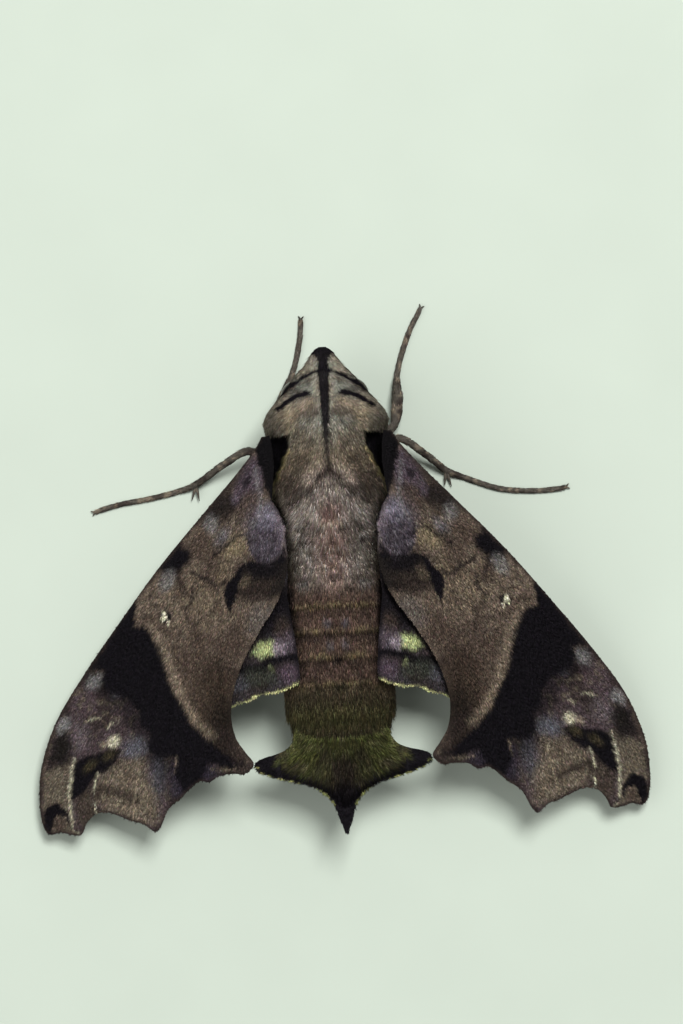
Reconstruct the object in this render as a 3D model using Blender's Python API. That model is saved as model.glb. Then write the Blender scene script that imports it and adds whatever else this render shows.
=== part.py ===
"""A hawkmoth at rest, life size, with its wings half spread and its body on the floor.

Every size below is in millimetres. A point of the plan is (back, side): how far it lies behind the
tip of the head, and how far to the moth's right of its middle line. A third value is its height.
The finished mesh is in metres, with +Y towards the head, +X to the moth's right and +Z up.
"""

import math

import bmesh
import bpy
from mathutils import Vector, geometry

MM = 0.001

# The middle of the model along the body, so that the origin is under the middle of its box.
MIDDLE = 14.33

# The clearance that touching pieces keep.
GAP = 0.3

# The whole body: back, half width, underside, top.
BODY = (
    (0.0, 0.32, 4.75, 5.25),
    (0.3, 0.62, 4.5, 5.5),
    (0.9, 1.2, 4.15, 5.9),
    (1.9, 2.15, 3.5, 6.7),
    (3.0, 3.05, 2.9, 7.6),
    (3.8, 3.7, 2.45, 8.25),
    (4.7, 4.05, 2.0, 8.9),
    (6.0, 3.95, 1.75, 9.45),
    (8.0, 4.0, 1.6, 9.8),
    (10.0, 4.1, 1.6, 9.7),
    (12.0, 4.05, 1.65, 9.1),
    (14.0, 3.9, 1.8, 8.1),
    (17.0, 4.0, 2.0, 7.4),
    (20.0, 3.95, 2.3, 7.1),
    (22.8, 3.75, 2.8, 6.7),
    (25.0, 3.2, 3.4, 6.3),
)
BODY_SIDES = 28
RING_STEP = 0.75
BODY_END = 25.0

# The head is parted from the thorax by a leaning chevron, which the collar follows.
COLLAR_APEX = 1.3
COLLAR_SWEEP = 0.73
COLLAR_LEAN = 0.9
COLLAR_LEVEL = 6.2
COLLAR_TOP = 8.0

# The waist, and the rings of the abdomen: where each one ends, and how far its edge stands out.
WAIST = 13.5
RINGS = (16.4, 18.1, 19.75, 21.5, 23.4)
RING_LIP = 0.03
RING_STEEP = 0.12

# Behind the collar's lobes a hollow lies on each side of the thorax: (back, where it starts).
HOLLOW_EDGE = ((5.15, 4.4), (5.45, 2.3), (6.3, 2.45), (7.6, 3.0), (8.4, 3.4), (9.7, 3.8), (10.4, 4.3))
HOLLOW_BLEND = 0.4
HOLLOW_DEPTH = 0.5

EYE = (3.1, 1.95, 4.1)
EYE_RADIUS = 1.1

# The wings slope down from beside the body like a low roof and droop towards their tips.
ROOF_TOP = 8.4
ROOF_START = 2.5
ROOF_SLOPE = 0.36
DROOP_START = 12.0
DROOP = 0.05
WING_THICKNESS = 0.5
WING_SPACING = 0.85
VEIN_HEIGHT = 0.2
VEIN_HALF_WIDTH = 0.4

# The pad of long scales that covers the forewing's root: its middle, reach, lean and rise.
PAD = (11.85, 4.15)
PAD_REACH = (1.75, 1.2)
PAD_LEAN = 0.15
PAD_RISE = 0.45
PAD_CIRCLES = (0.0, 0.5, 0.85, 1.0)
PAD_SIDES = 10
DETAIL_SPACING = 0.2

# The forewing's front edge, from the shoulder to the apex.
COSTA = (
    (6.7, 4.4),
    (8.1, 5.95),
    (9.8, 7.6),
    (13.7, 11.25),
    (17.1, 14.0),
    (20.2, 16.4),
    (23.4, 18.55),
    (26.4, 19.7),
    (28.7, 19.95),
    (30.3, 19.75),
)
# The forewing's outer edge, from the apex round the notches and the hook to its rear corner.
SCALLOPS = (
    (30.75, 19.35),
    (30.62, 18.65),
    (30.8, 17.9),
    (30.78, 17.25),
    (30.15, 16.95),
    (29.5, 16.3),
    (29.4, 15.5),
    (29.7, 14.6),
    (30.0, 13.9),
    (30.25, 13.1),
    (30.75, 12.4),
    (30.4, 12.0),
    (29.3, 11.45),
    (28.55, 10.5),
    (28.15, 10.1),
    (27.55, 9.3),
    (27.65, 8.7),
    (27.25, 8.0),
    (27.15, 7.0),
    (27.2, 6.4),
    (26.6, 5.75),
)
# The forewing's rear edge, from that corner back to the body.
INNER_EDGE = (
    (25.8, 6.25),
    (24.9, 6.8),
    (23.6, 7.05),
    (22.2, 6.9),
    (20.2, 6.2),
    (18.0, 4.9),
    (16.4, 3.8),
    (15.2, 3.2),
    (14.2, 3.15),
)
FOREWING_ROOT = (13.2, 10.4)
ROOT_STEP = 0.95
# Where the forewing's root lies in front of that, outside the thorax's hollow.
SHOULDER = ((9.7, 3.95), (8.85, 4.05), (7.6, 4.25))

FORE_VEINS = (
    ((8.6, 4.7), (12.5, 8.6), (16.3, 11.9), (21.3, 16.6)),
    ((16.3, 11.9), (23.0, 16.1), (29.9, 19.0)),
    ((16.3, 11.9), (17.3, 11.6), (23.5, 15.1), (30.3, 17.6)),
    ((17.3, 11.6), (17.7, 10.9), (23.6, 13.5), (29.1, 15.9)),
    ((8.6, 4.7), (12.6, 7.3), (17.2, 9.9), (17.7, 10.9)),
    ((17.7, 10.9), (23.5, 12.1), (29.6, 13.8)),
    ((17.2, 9.9), (23.5, 10.9), (30.2, 12.3)),
    ((14.6, 8.4), (21.0, 9.2), (28.1, 10.3)),
    ((8.6, 4.7), (13.0, 5.5), (19.0, 7.4), (26.9, 7.1)),
)

# The hindwing lies under the forewing and shows only beside the abdomen.
HINDWING_DROP = 0.85
HINDWING_ROOT = (14.6, 10.8)
HIND_EDGE = (
    (11.6, 5.6),
    (14.5, 8.3),
    (18.0, 11.3),
    (21.4, 13.9),
    (23.7, 14.6),
    (25.1, 13.4),
    (25.5, 11.2),
    (24.6, 9.2),
    (23.4, 7.6),
    (22.75, 6.6),
    (22.5, 5.7),
    (22.15, 5.0),
    (22.1, 4.1),
    (21.75, 3.1),
    (21.45, 2.55),
    (19.5, 2.6),
    (17.5, 2.85),
    (16.0, 3.05),
)
HIND_VEINS = (
    ((12.4, 5.0), (16.5, 8.6), (22.8, 13.2)),
    ((12.4, 5.0), (17.0, 7.8), (24.6, 10.7)),
    ((12.4, 5.0), (17.0, 6.6), (23.0, 7.8)),
    ((12.4, 5.0), (16.4, 4.6), (21.4, 4.6)),
)

# The tail fan: the right half of its outline, from the abdomen out to the side tip and the spike.
FAN_EDGE = (
    (25.3, 3.15),
    (25.8, 3.6),
    (26.1, 4.3),
    (26.3, 5.1),
    (26.55, 5.6),
    (26.9, 5.65),
    (27.25, 5.2),
    (27.6, 4.3),
    (27.85, 3.4),
    (28.15, 2.2),
    (28.75, 1.25),
    (29.4, 0.75),
    (30.3, 0.42),
    (31.25, 0.1),
)
FAN_SPACING = 0.55
FAN_LEVEL = 4.85
FAN_RISE = 0.12
FAN_CORE = 1.2
FAN_CORE_WIDTH = 3.3
FAN_CORE_LENGTH = 4.6
FAN_THICKNESS = 0.5
FAN_TIP_FROM = 29.0

# Legs as (back, side, height, radius) along each, from the body to the claws.
FORELEG_R = (
    (5.3, 1.9, 1.7, 0.32),
    (5.75, 3.3, 1.35, 0.4),
    (5.35, 4.3, 1.5, 0.36),
    (4.6, 4.6, 1.35, 0.42),
    (3.3, 4.75, 1.1, 0.42),
    (2.3, 4.75, 0.7, 0.32),
    (1.7, 4.85, 0.42, 0.27),
    (0.65, 5.15, 0.25, 0.28),
    (-0.9, 5.75, 0.25, 0.27),
    (-1.9, 6.3, 0.25, 0.25),
    (-2.55, 6.65, 0.2, 0.14),
)
FORELEG_L = (
    (5.1, -1.9, 1.7, 0.32),
    (5.2, -2.9, 1.35, 0.4),
    (4.6, -3.3, 1.5, 0.36),
    (3.6, -2.95, 1.25, 0.42),
    (2.4, -2.4, 0.85, 0.38),
    (1.5, -2.05, 0.5, 0.28),
    (0.4, -1.7, 0.25, 0.28),
    (-0.9, -1.42, 0.25, 0.27),
    (-1.6, -1.35, 0.25, 0.25),
    (-2.2, -1.3, 0.2, 0.14),
)
MIDLEG_R = (
    (7.7, 2.35, 1.75, 0.34),
    (7.0, 3.6, 1.9, 0.42),
    (6.1, 4.65, 2.5, 0.36),
    (7.2, 6.35, 1.55, 0.34),
    (8.35, 7.75, 0.55, 0.32),
    (8.9, 9.0, 0.27, 0.28),
    (9.7, 11.2, 0.25, 0.27),
    (9.95, 13.4, 0.25, 0.26),
    (9.9, 15.0, 0.25, 0.25),
    (9.75, 15.65, 0.2, 0.14),
)
MIDLEG_L = (
    (7.8, -2.35, 1.75, 0.34),
    (7.3, -3.8, 2.0, 0.42),
    (6.45, -5.1, 2.6, 0.36),
    (7.15, -6.7, 1.85, 0.34),
    (8.45, -8.8, 0.6, 0.32),
    (8.85, -10.1, 0.27, 0.28),
    (9.2, -11.9, 0.25, 0.27),
    (9.45, -13.7, 0.25, 0.26),
    (9.75, -15.0, 0.25, 0.25),
    (9.95, -15.6, 0.2, 0.14),
)
HINDLEG = (
    (10.3, 2.1, 1.75, 0.34),
    (11.4, 3.4, 1.8, 0.44),
    (12.9, 4.9, 2.3, 0.38),
    (15.0, 5.9, 1.45, 0.34),
    (17.0, 6.7, 0.55, 0.32),
    (18.4, 7.2, 0.27, 0.28),
    (20.3, 7.9, 0.25, 0.27),
    (22.2, 8.6, 0.25, 0.25),
    (22.8, 8.8, 0.2, 0.14),
)
SPUR_RADII = (0.24, 0.22, 0.1)
SPURS = {
    "midleg_R": (((8.3, 7.7, 0.5), (8.8, 7.85, 0.4), (9.4, 8.0, 0.3)),),
    "midleg_L": (((8.4, -8.7, 0.5), (8.85, -8.85, 0.4), (9.45, -9.05, 0.3)),),
    "hindleg_R": (
        ((16.9, 6.7, 0.5), (17.3, 7.25, 0.4), (17.8, 7.85, 0.3)),
        ((15.0, 5.9, 1.4), (15.3, 6.4, 1.15), (15.7, 7.0, 0.9)),
    ),
}
LEG_SIDES = 8

# The feeler is laid back along the thorax, under the wing: (back, side, height, radius).
ANTENNA = (
    (4.75, 3.05, 3.05, 0.24),
    (5.6, 3.6, 3.2, 0.27),
    (7.2, 4.35, 3.7, 0.28),
    (9.2, 5.1, 4.3, 0.3),
    (11.2, 5.9, 4.75, 0.33),
    (12.9, 6.7, 4.95, 0.33),
    (14.0, 7.3, 4.95, 0.27),
    (14.5, 7.75, 4.85, 0.15),
)

# The two feelers beside the tongue: (back, side, height, radius).
PALP = (
    (3.5, 0.9, 1.95, 0.34),
    (2.6, 0.95, 2.0, 0.52),
    (1.6, 0.92, 2.66, 0.55),
    (0.75, 0.75, 3.5, 0.42),
    (0.2, 0.58, 4.05, 0.22),
)
TONGUE = (2.7, 0.0, 1.75)
TONGUE_RADIUS = 0.7
TONGUE_THICKNESS = 0.5

BROWN = (0.12, 0.085, 0.06)
DARK_BROWN = (0.06, 0.042, 0.032)
OLIVE = (0.085, 0.075, 0.045)
GREY_BROWN = (0.11, 0.09, 0.08)
EYE_BLACK = (0.012, 0.009, 0.008)


def clear_scene():
    for thing in list(bpy.data.objects):
        bpy.data.objects.remove(thing, do_unlink=True)


def place(back, side, height):
    """A point of the moth in the model's own frame, in metres."""
    return Vector((side, MIDDLE - back, height)) * MM


def curve_row(table, at):
    """The values of a table at one place of its first column, on a smooth curve through its rows."""
    last = len(table) - 1
    index = 0
    while index < last - 1 and table[index + 1][0] < at:
        index += 1
    start, end = table[index], table[index + 1]
    before = table[max(index - 1, 0)]
    after = table[min(index + 2, last)]
    span = end[0] - start[0]
    part = min(max((at - start[0]) / span, 0.0), 1.0)
    row = []
    for column in range(1, len(start)):
        slope_in = (end[column] - before[column]) / (end[0] - before[0]) * span
        slope_out = (after[column] - start[column]) / (after[0] - start[0]) * span
        square, cube = part**2, part**3
        row.append(
            (2 * cube - 3 * square + 1) * start[column]
            + (cube - 2 * square + part) * slope_in
            + (3 * square - 2 * cube) * end[column]
            + (cube - square) * slope_out
        )
    return row


def rounded(points, step):
    """A smooth open line through the given points, with a point about every step."""
    distances = [0.0]
    for first, second in zip(points, points[1:]):
        distances.append(distances[-1] + math.dist(first[:3], second[:3]))
    table = [(distance, *point) for distance, point in zip(distances, points)]
    line = [tuple(points[0])]
    for start, end, corner in zip(distances, distances[1:], points[1:]):
        pieces = max(1, round((end - start) / step))
        for piece in range(1, pieces):
            line.append(tuple(curve_row(table, start + (end - start) * piece / pieces)))
        line.append(tuple(corner))
    return line


def mirrored(points):
    return [(point[0], -point[1], *point[2:]) for point in points]


def material(name, colour, roughness):
    made = bpy.data.materials.get(name)
    if made:
        return made
    made = bpy.data.materials.new(name)
    made.use_nodes = True
    shader = made.node_tree.nodes["Principled BSDF"]
    shader.inputs["Base Color"].default_value = (*colour, 1.0)
    shader.inputs["Roughness"].default_value = roughness
    shader.inputs["Metallic"].default_value = 0.0
    return made


def object_from(name, points, faces, finish):
    """A closed mesh object from points in metres, its faces turned to point out."""
    mesh = bpy.data.meshes.new(name)
    mesh.from_pydata([tuple(point) for point in points], [], faces)
    shell = bmesh.new()
    shell.from_mesh(mesh)
    bmesh.ops.recalc_face_normals(shell, faces=shell.faces)
    shell.to_mesh(mesh)
    shell.free()
    mesh.shade_smooth()
    mesh.set_sharp_from_angle(angle=math.radians(50))
    made = bpy.data.objects.new(name, mesh)
    made.data.materials.append(finish)
    bpy.context.scene.collection.objects.link(made)
    return made


def tube_faces(rings, sides):
    """The faces of rings joined one after another, with a flat cap at each end."""
    faces = [tuple(range(sides))[::-1]]
    for ring in range(rings - 1):
        for side in range(sides):
            near, far = ring * sides, (ring + 1) * sides
            following = (side + 1) % sides
            faces.append((near + side, near + following, far + following, far + side))
    faces.append(tuple((rings - 1) * sides + side for side in range(sides)))
    return faces


def limb(name, line, finish, step=0.8, sides=LEG_SIDES):
    """A tube along (back, side, height, radius) points, flat where it would pass the floor."""
    path = rounded(line, step)
    centres = [place(*point[:3]) for point in path]
    up = Vector((0.0, 0.0, 1.0))
    points = []
    for index, centre in enumerate(centres):
        ahead = centres[min(index + 1, len(centres) - 1)] - centres[max(index - 1, 0)]
        across = ahead.cross(up).normalized()
        over = across.cross(ahead).normalized()
        radius = path[index][3] * MM
        for side in range(sides):
            angle = 2 * math.pi * (side + 0.5) / sides
            point = centre + (across * math.cos(angle) + over * math.sin(angle)) * radius
            point.z = max(point.z, 0.0)
            points.append(point)
    return object_from(name, points, tube_faces(len(centres), sides), finish)


def body_row(back):
    """Half width, underside and top of the body, with the lips of the abdomen's rings."""
    half_width, bottom, top = curve_row(BODY, back)
    swell = 1.0
    if back > WAIST:
        starts = (WAIST, *RINGS)
        ends = (*RINGS, BODY_END)
        for start, end in zip(starts, ends):
            if start < back <= end:
                swell += RING_LIP * (2 * (back - start) / (end - start) - 1)
    middle, half_height = (top + bottom) / 2, (top - bottom) / 2
    return half_width * swell, middle, half_height * swell


def body_side(back, height):
    """How far out the body reaches at one place and height."""
    half_width, middle, half_height = body_row(back)
    lift = min(abs(height - middle) / half_height, 1.0)
    return half_width * math.sqrt(1 - lift**2)


def hollow(back, side):
    """The share of the body's upper half that is taken away beside the thorax."""
    inner = 99.0
    for (start, near), (end, far) in zip(HOLLOW_EDGE, HOLLOW_EDGE[1:]):
        if start < back <= end:
            inner = near + (far - near) * (back - start) / (end - start)
    part = min(max((abs(side) - inner) / HOLLOW_BLEND, 0.0), 1.0)
    return HOLLOW_DEPTH * part * part * (3 - 2 * part)


def body_stations():
    """The places of the body's rings of points, with more at the edges of its forms."""
    steep = (HOLLOW_EDGE[0][0], HOLLOW_EDGE[1][0], *RINGS)
    stations = [0.0, 0.15, 0.3, 0.6, 0.9]
    while stations[-1] < BODY_END - RING_STEP:
        stations.append(stations[-1] + RING_STEP)
    stations = [back for back in stations if all(abs(back - edge) > RING_STEP / 3 for edge in steep)]
    stations += steep
    stations += [ring + RING_STEEP for ring in RINGS]
    return sorted(stations) + [BODY_END]


def body_whole():
    """The body from the tip of the head to the root of the tail fan, in one piece."""
    stations = body_stations()
    points = []
    for back in stations:
        half_width, middle, half_height = body_row(back)
        for side in range(BODY_SIDES):
            angle = 2 * math.pi * side / BODY_SIDES
            across, rise = half_width * math.cos(angle), half_height * math.sin(angle)
            if rise > 0:
                rise *= 1 - hollow(back, across)
            points.append(place(back, across, middle + rise))
    faces = tube_faces(len(stations), BODY_SIDES)
    return object_from("body", points, faces, material("thorax_coat", BROWN, 0.8))


def collar_plane(side, height):
    """How far back the parting of head and thorax lies."""
    return COLLAR_APEX + COLLAR_SWEEP * abs(side) + COLLAR_LEAN * (COLLAR_LEVEL - height)


def prism(name, corners_low, corners_high, low, high):
    """A block between two outlines of the plan, one at each height."""
    points = [place(back, side, low) for back, side in corners_low]
    points += [place(back, side, high) for back, side in corners_high]
    return object_from(
        name, points, tube_faces(2, len(corners_low)), material("cutter", BROWN, 0.8)
    )


def head_block():
    """Everything in front of the collar."""
    reach, ahead = 7.0, -3.0
    outlines = []
    for height in (0.0, COLLAR_TOP):
        rear = [(collar_plane(side, height), side) for side in (-reach, 0.0, reach)]
        outlines.append([(ahead, -reach), *rear, (ahead, reach)])
    return prism("head_block", *outlines, 0.0, COLLAR_TOP)


def collar_block():
    """Everything in front of the thorax: the head's side of the collar and the gap behind it."""
    reach, ahead, high = 7.0, -6.0, 12.0
    outlines = []
    for height in (0.0, high):
        rear = [(collar_plane(side, height) + GAP, side) for side in (-reach, 0.0, reach)]
        outlines.append([(ahead, -reach), *rear, (ahead, reach)])
    return prism("collar_block", *outlines, 0.0, high)


def slab(name, front, rear):
    """A block across the whole body between two places along it."""
    reach, high = 8.0, 12.0
    outline = [(front, -reach), (rear, -reach), (rear, reach), (front, reach)]
    return prism(name, outline, outline, 0.0, high)


def settle(target, operation, others, solver="EXACT"):
    """Joins or cuts one object with others, keeps the result as its mesh and removes the others."""
    group = bpy.data.collections.new("operands")
    bpy.context.scene.collection.children.link(group)
    for other in others:
        group.objects.link(other)
    boolean = target.modifiers.new("boolean", "BOOLEAN")
    boolean.operation = operation
    boolean.solver = solver
    boolean.operand_type = "COLLECTION"
    boolean.collection = group
    graph = bpy.context.evaluated_depsgraph_get()
    result = bpy.data.meshes.new_from_object(target.evaluated_get(graph))
    target.modifiers.clear()
    target.data = result
    for other in others:
        bpy.data.objects.remove(other, do_unlink=True)
    bpy.data.collections.remove(group)
    keep_largest(target)
    return target


def keep_largest(target):
    """Drops every scrap of a mesh but its largest closed surface."""
    shell = bmesh.new()
    shell.from_mesh(target.data)
    left = set(shell.faces)
    surfaces = []
    while left:
        found = {left.pop()}
        edge_of = list(found)
        while edge_of:
            face = edge_of.pop()
            for edge in face.edges:
                for near in edge.link_faces:
                    if near in left:
                        left.discard(near)
                        found.add(near)
                        edge_of.append(near)
        surfaces.append(found)
    surfaces.sort(key=lambda faces: sum(face.calc_area() for face in faces))
    scraps = [face for faces in surfaces[:-1] for face in faces]
    bmesh.ops.delete(shell, geom=scraps, context="FACES")
    shell.to_mesh(target.data)
    shell.free()


def ball(name, back, side, height, radius, finish):
    """A round ball of even triangles."""
    mesh = bpy.data.meshes.new(name)
    shell = bmesh.new()
    bmesh.ops.create_icosphere(shell, subdivisions=3, radius=radius * MM)
    bmesh.ops.translate(shell, verts=shell.verts, vec=place(back, side, height))
    shell.to_mesh(mesh)
    shell.free()
    mesh.shade_smooth()
    made = bpy.data.objects.new(name, mesh)
    made.data.materials.append(finish)
    bpy.context.scene.collection.objects.link(made)
    return made


def copy_of(whole, name):
    made = bpy.data.objects.new(name, whole.data.copy())
    bpy.context.scene.collection.objects.link(made)
    return made


def part_body(whole):
    """Parts the whole body into head, thorax and abdomen, with sockets for the eyes."""
    head = settle(copy_of(whole, "head"), "INTERSECT", [head_block()])
    coat = material("head_coat", BROWN, 0.8)
    back, side, height = EYE
    sockets = [
        ball("socket", back, out, height, EYE_RADIUS + GAP, coat) for out in (side, -side)
    ]
    settle(head, "DIFFERENCE", sockets)
    thorax = settle(copy_of(whole, "thorax"), "INTERSECT", [slab("chest", -1.0, WAIST)])
    settle(thorax, "DIFFERENCE", [collar_block()])
    rear = slab("rear", WAIST + GAP, BODY_END + 1.0)
    abdomen = settle(copy_of(whole, "abdomen"), "INTERSECT", [rear])
    bpy.data.objects.remove(whole, do_unlink=True)
    finishes = (
        (head, coat),
        (thorax, material("thorax_coat", BROWN, 0.8)),
        (abdomen, material("abdomen_coat", DARK_BROWN, 0.8)),
    )
    for node, finish in finishes:
        node.data.materials.clear()
        node.data.materials.append(finish)


def forewing_height(back, side):
    """The level of the forewing's middle surface."""
    slope = ROOF_SLOPE * (side - ROOF_START)
    return ROOF_TOP - slope - DROOP * max(0.0, back - DROOP_START)


def hindwing_height(back, side):
    return forewing_height(back, side) - HINDWING_DROP


def root_line(ends, level):
    """The wing's edge beside the body, from its rear end to its front end, clear of the body."""
    rear, front = ends
    count = round((rear - front) / ROOT_STEP)
    line = []
    for step in range(count + 1):
        back = rear + (front - rear) * step / count
        side = max(body_side(back, ROOF_TOP), ROOF_START)
        for _ in range(4):
            side = body_side(back, level(back, side) - WING_THICKNESS / 2) + GAP
        line.append((back, max(side, ROOF_START)))
    return line


def vein_lift(back, side, veins):
    """How much the nearest vein raises the wing at one place."""
    nearest = VEIN_HALF_WIDTH
    here = Vector((back, side))
    for vein in veins:
        for first, second in zip(vein, vein[1:]):
            start, end = Vector(first), Vector(second)
            along = end - start
            part = min(max((here - start).dot(along) / along.length_squared, 0.0), 1.0)
            nearest = min(nearest, (start + along * part - here).length)
    return VEIN_HEIGHT * (1 - nearest / VEIN_HALF_WIDTH)


def pad_point(circle, angle):
    """A point of the shoulder pad's plan, by its circle (0 in the middle, 1 at the rim)."""
    along = PAD_REACH[0] * circle * math.cos(angle)
    across = PAD_REACH[1] * circle * math.sin(angle)
    cosine, sine = math.cos(PAD_LEAN), math.sin(PAD_LEAN)
    return PAD[0] + along * cosine - across * sine, PAD[1] + along * sine + across * cosine


def pad_lift(back, side):
    """How much the shoulder pad raises the forewing's top at one place."""
    cosine, sine = math.cos(PAD_LEAN), math.sin(PAD_LEAN)
    along = (back - PAD[0]) * cosine + (side - PAD[1]) * sine
    across = (side - PAD[1]) * cosine - (back - PAD[0]) * sine
    circle = math.hypot(along / PAD_REACH[0], across / PAD_REACH[1])
    return PAD_RISE * math.sqrt(max(0.0, 1 - circle**2))


def no_lift(back, side):
    return 0.0


def pad_points():
    """The points that shape the pad in the wing's net."""
    angles = [2 * math.pi * side / PAD_SIDES for side in range(PAD_SIDES)]
    return [pad_point(circle, angle) for circle in PAD_CIRCLES for angle in angles]


def inside(point, outline):
    """Whether a point of the plan lies within a closed outline."""
    crossed = False
    back, side = point
    for first, second in zip(outline, outline[1:] + outline[:1]):
        if (first[1] > side) == (second[1] > side):
            continue
        at = first[0] + (side - first[1]) / (second[1] - first[1]) * (second[0] - first[0])
        if at > back:
            crossed = not crossed
    return crossed


def far_from(point, others, distance):
    return all(math.dist(point, other) >= distance for other in others)


def net(outline, veins, details, spacing):
    """A triangle net over a closed outline, with an edge along each vein and points at details."""
    points = [Vector(point) for point in outline]
    edges = []
    for point in details:
        if inside(point, outline) and far_from(point, points, DETAIL_SPACING):
            points.append(Vector(point))
    for vein in veins:
        sides = []
        previous = None
        for index, point in enumerate(vein):
            match = [at for at, other in enumerate(points) if math.dist(other, point) < 0.05]
            at = match[0] if match else len(points)
            if not match:
                points.append(Vector(point))
            if previous is not None:
                edges.append((previous, at))
                across = Vector(vein[index]) - Vector(vein[index - 1])
                across = Vector((-across.y, across.x)).normalized() * VEIN_HALF_WIDTH
                sides += [Vector(point) + across, Vector(point) - across]
            previous = at
        margin = VEIN_HALF_WIDTH * 0.8
        for point in sides:
            if inside(point, outline) and far_from(point, points, margin):
                points.append(point)
    backs = [point[0] for point in outline]
    outs = [point[1] for point in outline]
    rows = int((max(backs) - min(backs)) / spacing)
    columns = int((max(outs) - min(outs)) / spacing)
    for row in range(rows + 1):
        for column in range(columns + 1):
            shift = spacing / 2 * (row % 2)
            point = (min(backs) + row * spacing, min(outs) + column * spacing + shift)
            if inside(point, outline) and far_from(point, points, spacing * 0.6):
                points.append(Vector(point))
    found = geometry.delaunay_2d_cdt(points, edges, [list(range(len(outline)))], 1, 1e-5)
    return [tuple(point) for point in found[0]], [tuple(face) for face in found[2]]


def plate(name, outline, veins, details, spacing, top_level, bottom_level, finish, mirror):
    """A thin curved plate between two levels, split into triangles alike on both faces."""
    plan, triangles = net(outline, veins, details, spacing)
    turn = -1 if mirror else 1
    points = [place(back, side * turn, top_level(back, side)) for back, side in plan]
    points += [place(back, side * turn, bottom_level(back, side)) for back, side in plan]
    count = len(plan)
    faces = [tuple(face) for face in triangles]
    faces += [tuple(at + count for at in reversed(face)) for face in triangles]
    uses = {}
    for face in triangles:
        for first, second in zip(face, face[1:] + face[:1]):
            uses.setdefault(frozenset((first, second)), []).append((first, second))
    for ways in uses.values():
        if len(ways) == 1:
            first, second = ways[0]
            faces.append((second, first, first + count, second + count))
    return object_from(name, points, faces, finish)


def wing(name, outline, veins, details, level, lift, finish, mirror):
    """A wing with raised veins; lift is what stands on its top besides them."""
    veins = [rounded(vein, WING_SPACING * 1.6) for vein in veins]
    half = WING_THICKNESS / 2

    def top_level(back, side):
        return level(back, side) + half + max(vein_lift(back, side, veins), lift(back, side))

    return plate(
        name,
        outline,
        veins,
        details,
        WING_SPACING * 2.4,
        top_level,
        lambda back, side: level(back, side) - half,
        finish,
        mirror,
    )


def forewing_outline():
    edge = rounded((*COSTA, *SCALLOPS, *INNER_EDGE), WING_SPACING)
    return edge + root_line(FOREWING_ROOT, forewing_height) + list(SHOULDER)


def hindwing_outline():
    return rounded(HIND_EDGE, WING_SPACING) + root_line(HINDWING_ROOT, hindwing_height)


def wings():
    fore = material("forewing_scales", BROWN, 0.75)
    hind = material("hindwing_scales", GREY_BROWN, 0.75)
    for tag, mirror in (("R", False), ("L", True)):
        outline = forewing_outline()
        pad = pad_points()
        wing("forewing_" + tag, outline, FORE_VEINS, pad, forewing_height, pad_lift, fore, mirror)
        outline = hindwing_outline()
        wing("hindwing_" + tag, outline, HIND_VEINS, (), hindwing_height, no_lift, hind, mirror)


def fan_middle(back, side):
    """The level of the tail fan's middle surface, which rises a little towards the spike."""
    return FAN_LEVEL + FAN_RISE * (back - BODY_END)


def fan_half(back, side):
    """Half the thickness of the tail fan, full at its root and thin at its edges."""
    width = max(0.0, 1 - (side / FAN_CORE_WIDTH) ** 2)
    length = max(0.0, 1 - (back - BODY_END) / FAN_CORE_LENGTH)
    thin = FAN_THICKNESS / 2
    if back > FAN_TIP_FROM:
        thin *= 1 - 0.6 * (back - FAN_TIP_FROM) / (FAN_EDGE[-1][0] - FAN_TIP_FROM)
    return thin + FAN_CORE * math.sqrt(width) * length


def tail_fan():
    edge = rounded(FAN_EDGE, FAN_SPACING * 1.4)
    root = [(FAN_EDGE[0][0], FAN_EDGE[0][1] * part / 4) for part in range(3, -4, -1)]
    outline = edge + mirrored(edge)[::-1] + root[::-1]
    return plate(
        "tail_fan",
        outline,
        (),
        (),
        FAN_SPACING * 1.5,
        lambda back, side: fan_middle(back, side) + fan_half(back, side),
        lambda back, side: fan_middle(back, side) - fan_half(back, side),
        material("fan_scales", OLIVE, 0.8),
        False,
    )


def leg(name, line, spurs, finish):
    """A leg and its spurs, joined into one body."""
    made = limb(name, line, finish)
    pins = []
    for spur in spurs:
        pin = [(*point, radius) for point, radius in zip(spur, SPUR_RADII)]
        pins.append(limb("spur", pin, finish, sides=6))
    if pins:
        settle(made, "UNION", pins)
    return made


def legs():
    finish = material("leg_scales", GREY_BROWN, 0.7)
    spurs = dict(SPURS)
    spurs["hindleg_L"] = [mirrored(spur) for spur in SPURS["hindleg_R"]]
    lines = {
        "foreleg_R": FORELEG_R,
        "foreleg_L": FORELEG_L,
        "midleg_R": MIDLEG_R,
        "midleg_L": MIDLEG_L,
        "hindleg_R": HINDLEG,
        "hindleg_L": mirrored(HINDLEG),
    }
    for name, line in lines.items():
        leg(name, line, spurs.get(name, ()), finish)


def head_parts():
    """Eyes, feelers, palps and the coiled tongue."""
    back, side, height = EYE
    horn = material("antenna_scales", GREY_BROWN, 0.6)
    coat = material("palp_coat", BROWN, 0.8)
    dark = material("eye_surface", EYE_BLACK, 0.2)
    for tag, turn in (("R", 1), ("L", -1)):
        ball("eye_" + tag, back, side * turn, height, EYE_RADIUS, dark)
        lines = (ANTENNA, PALP) if turn > 0 else (mirrored(ANTENNA), mirrored(PALP))
        limb("antenna_" + tag, lines[0], horn)
        limb("palp_" + tag, lines[1], coat, step=0.45, sides=10)
    coil()


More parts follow.
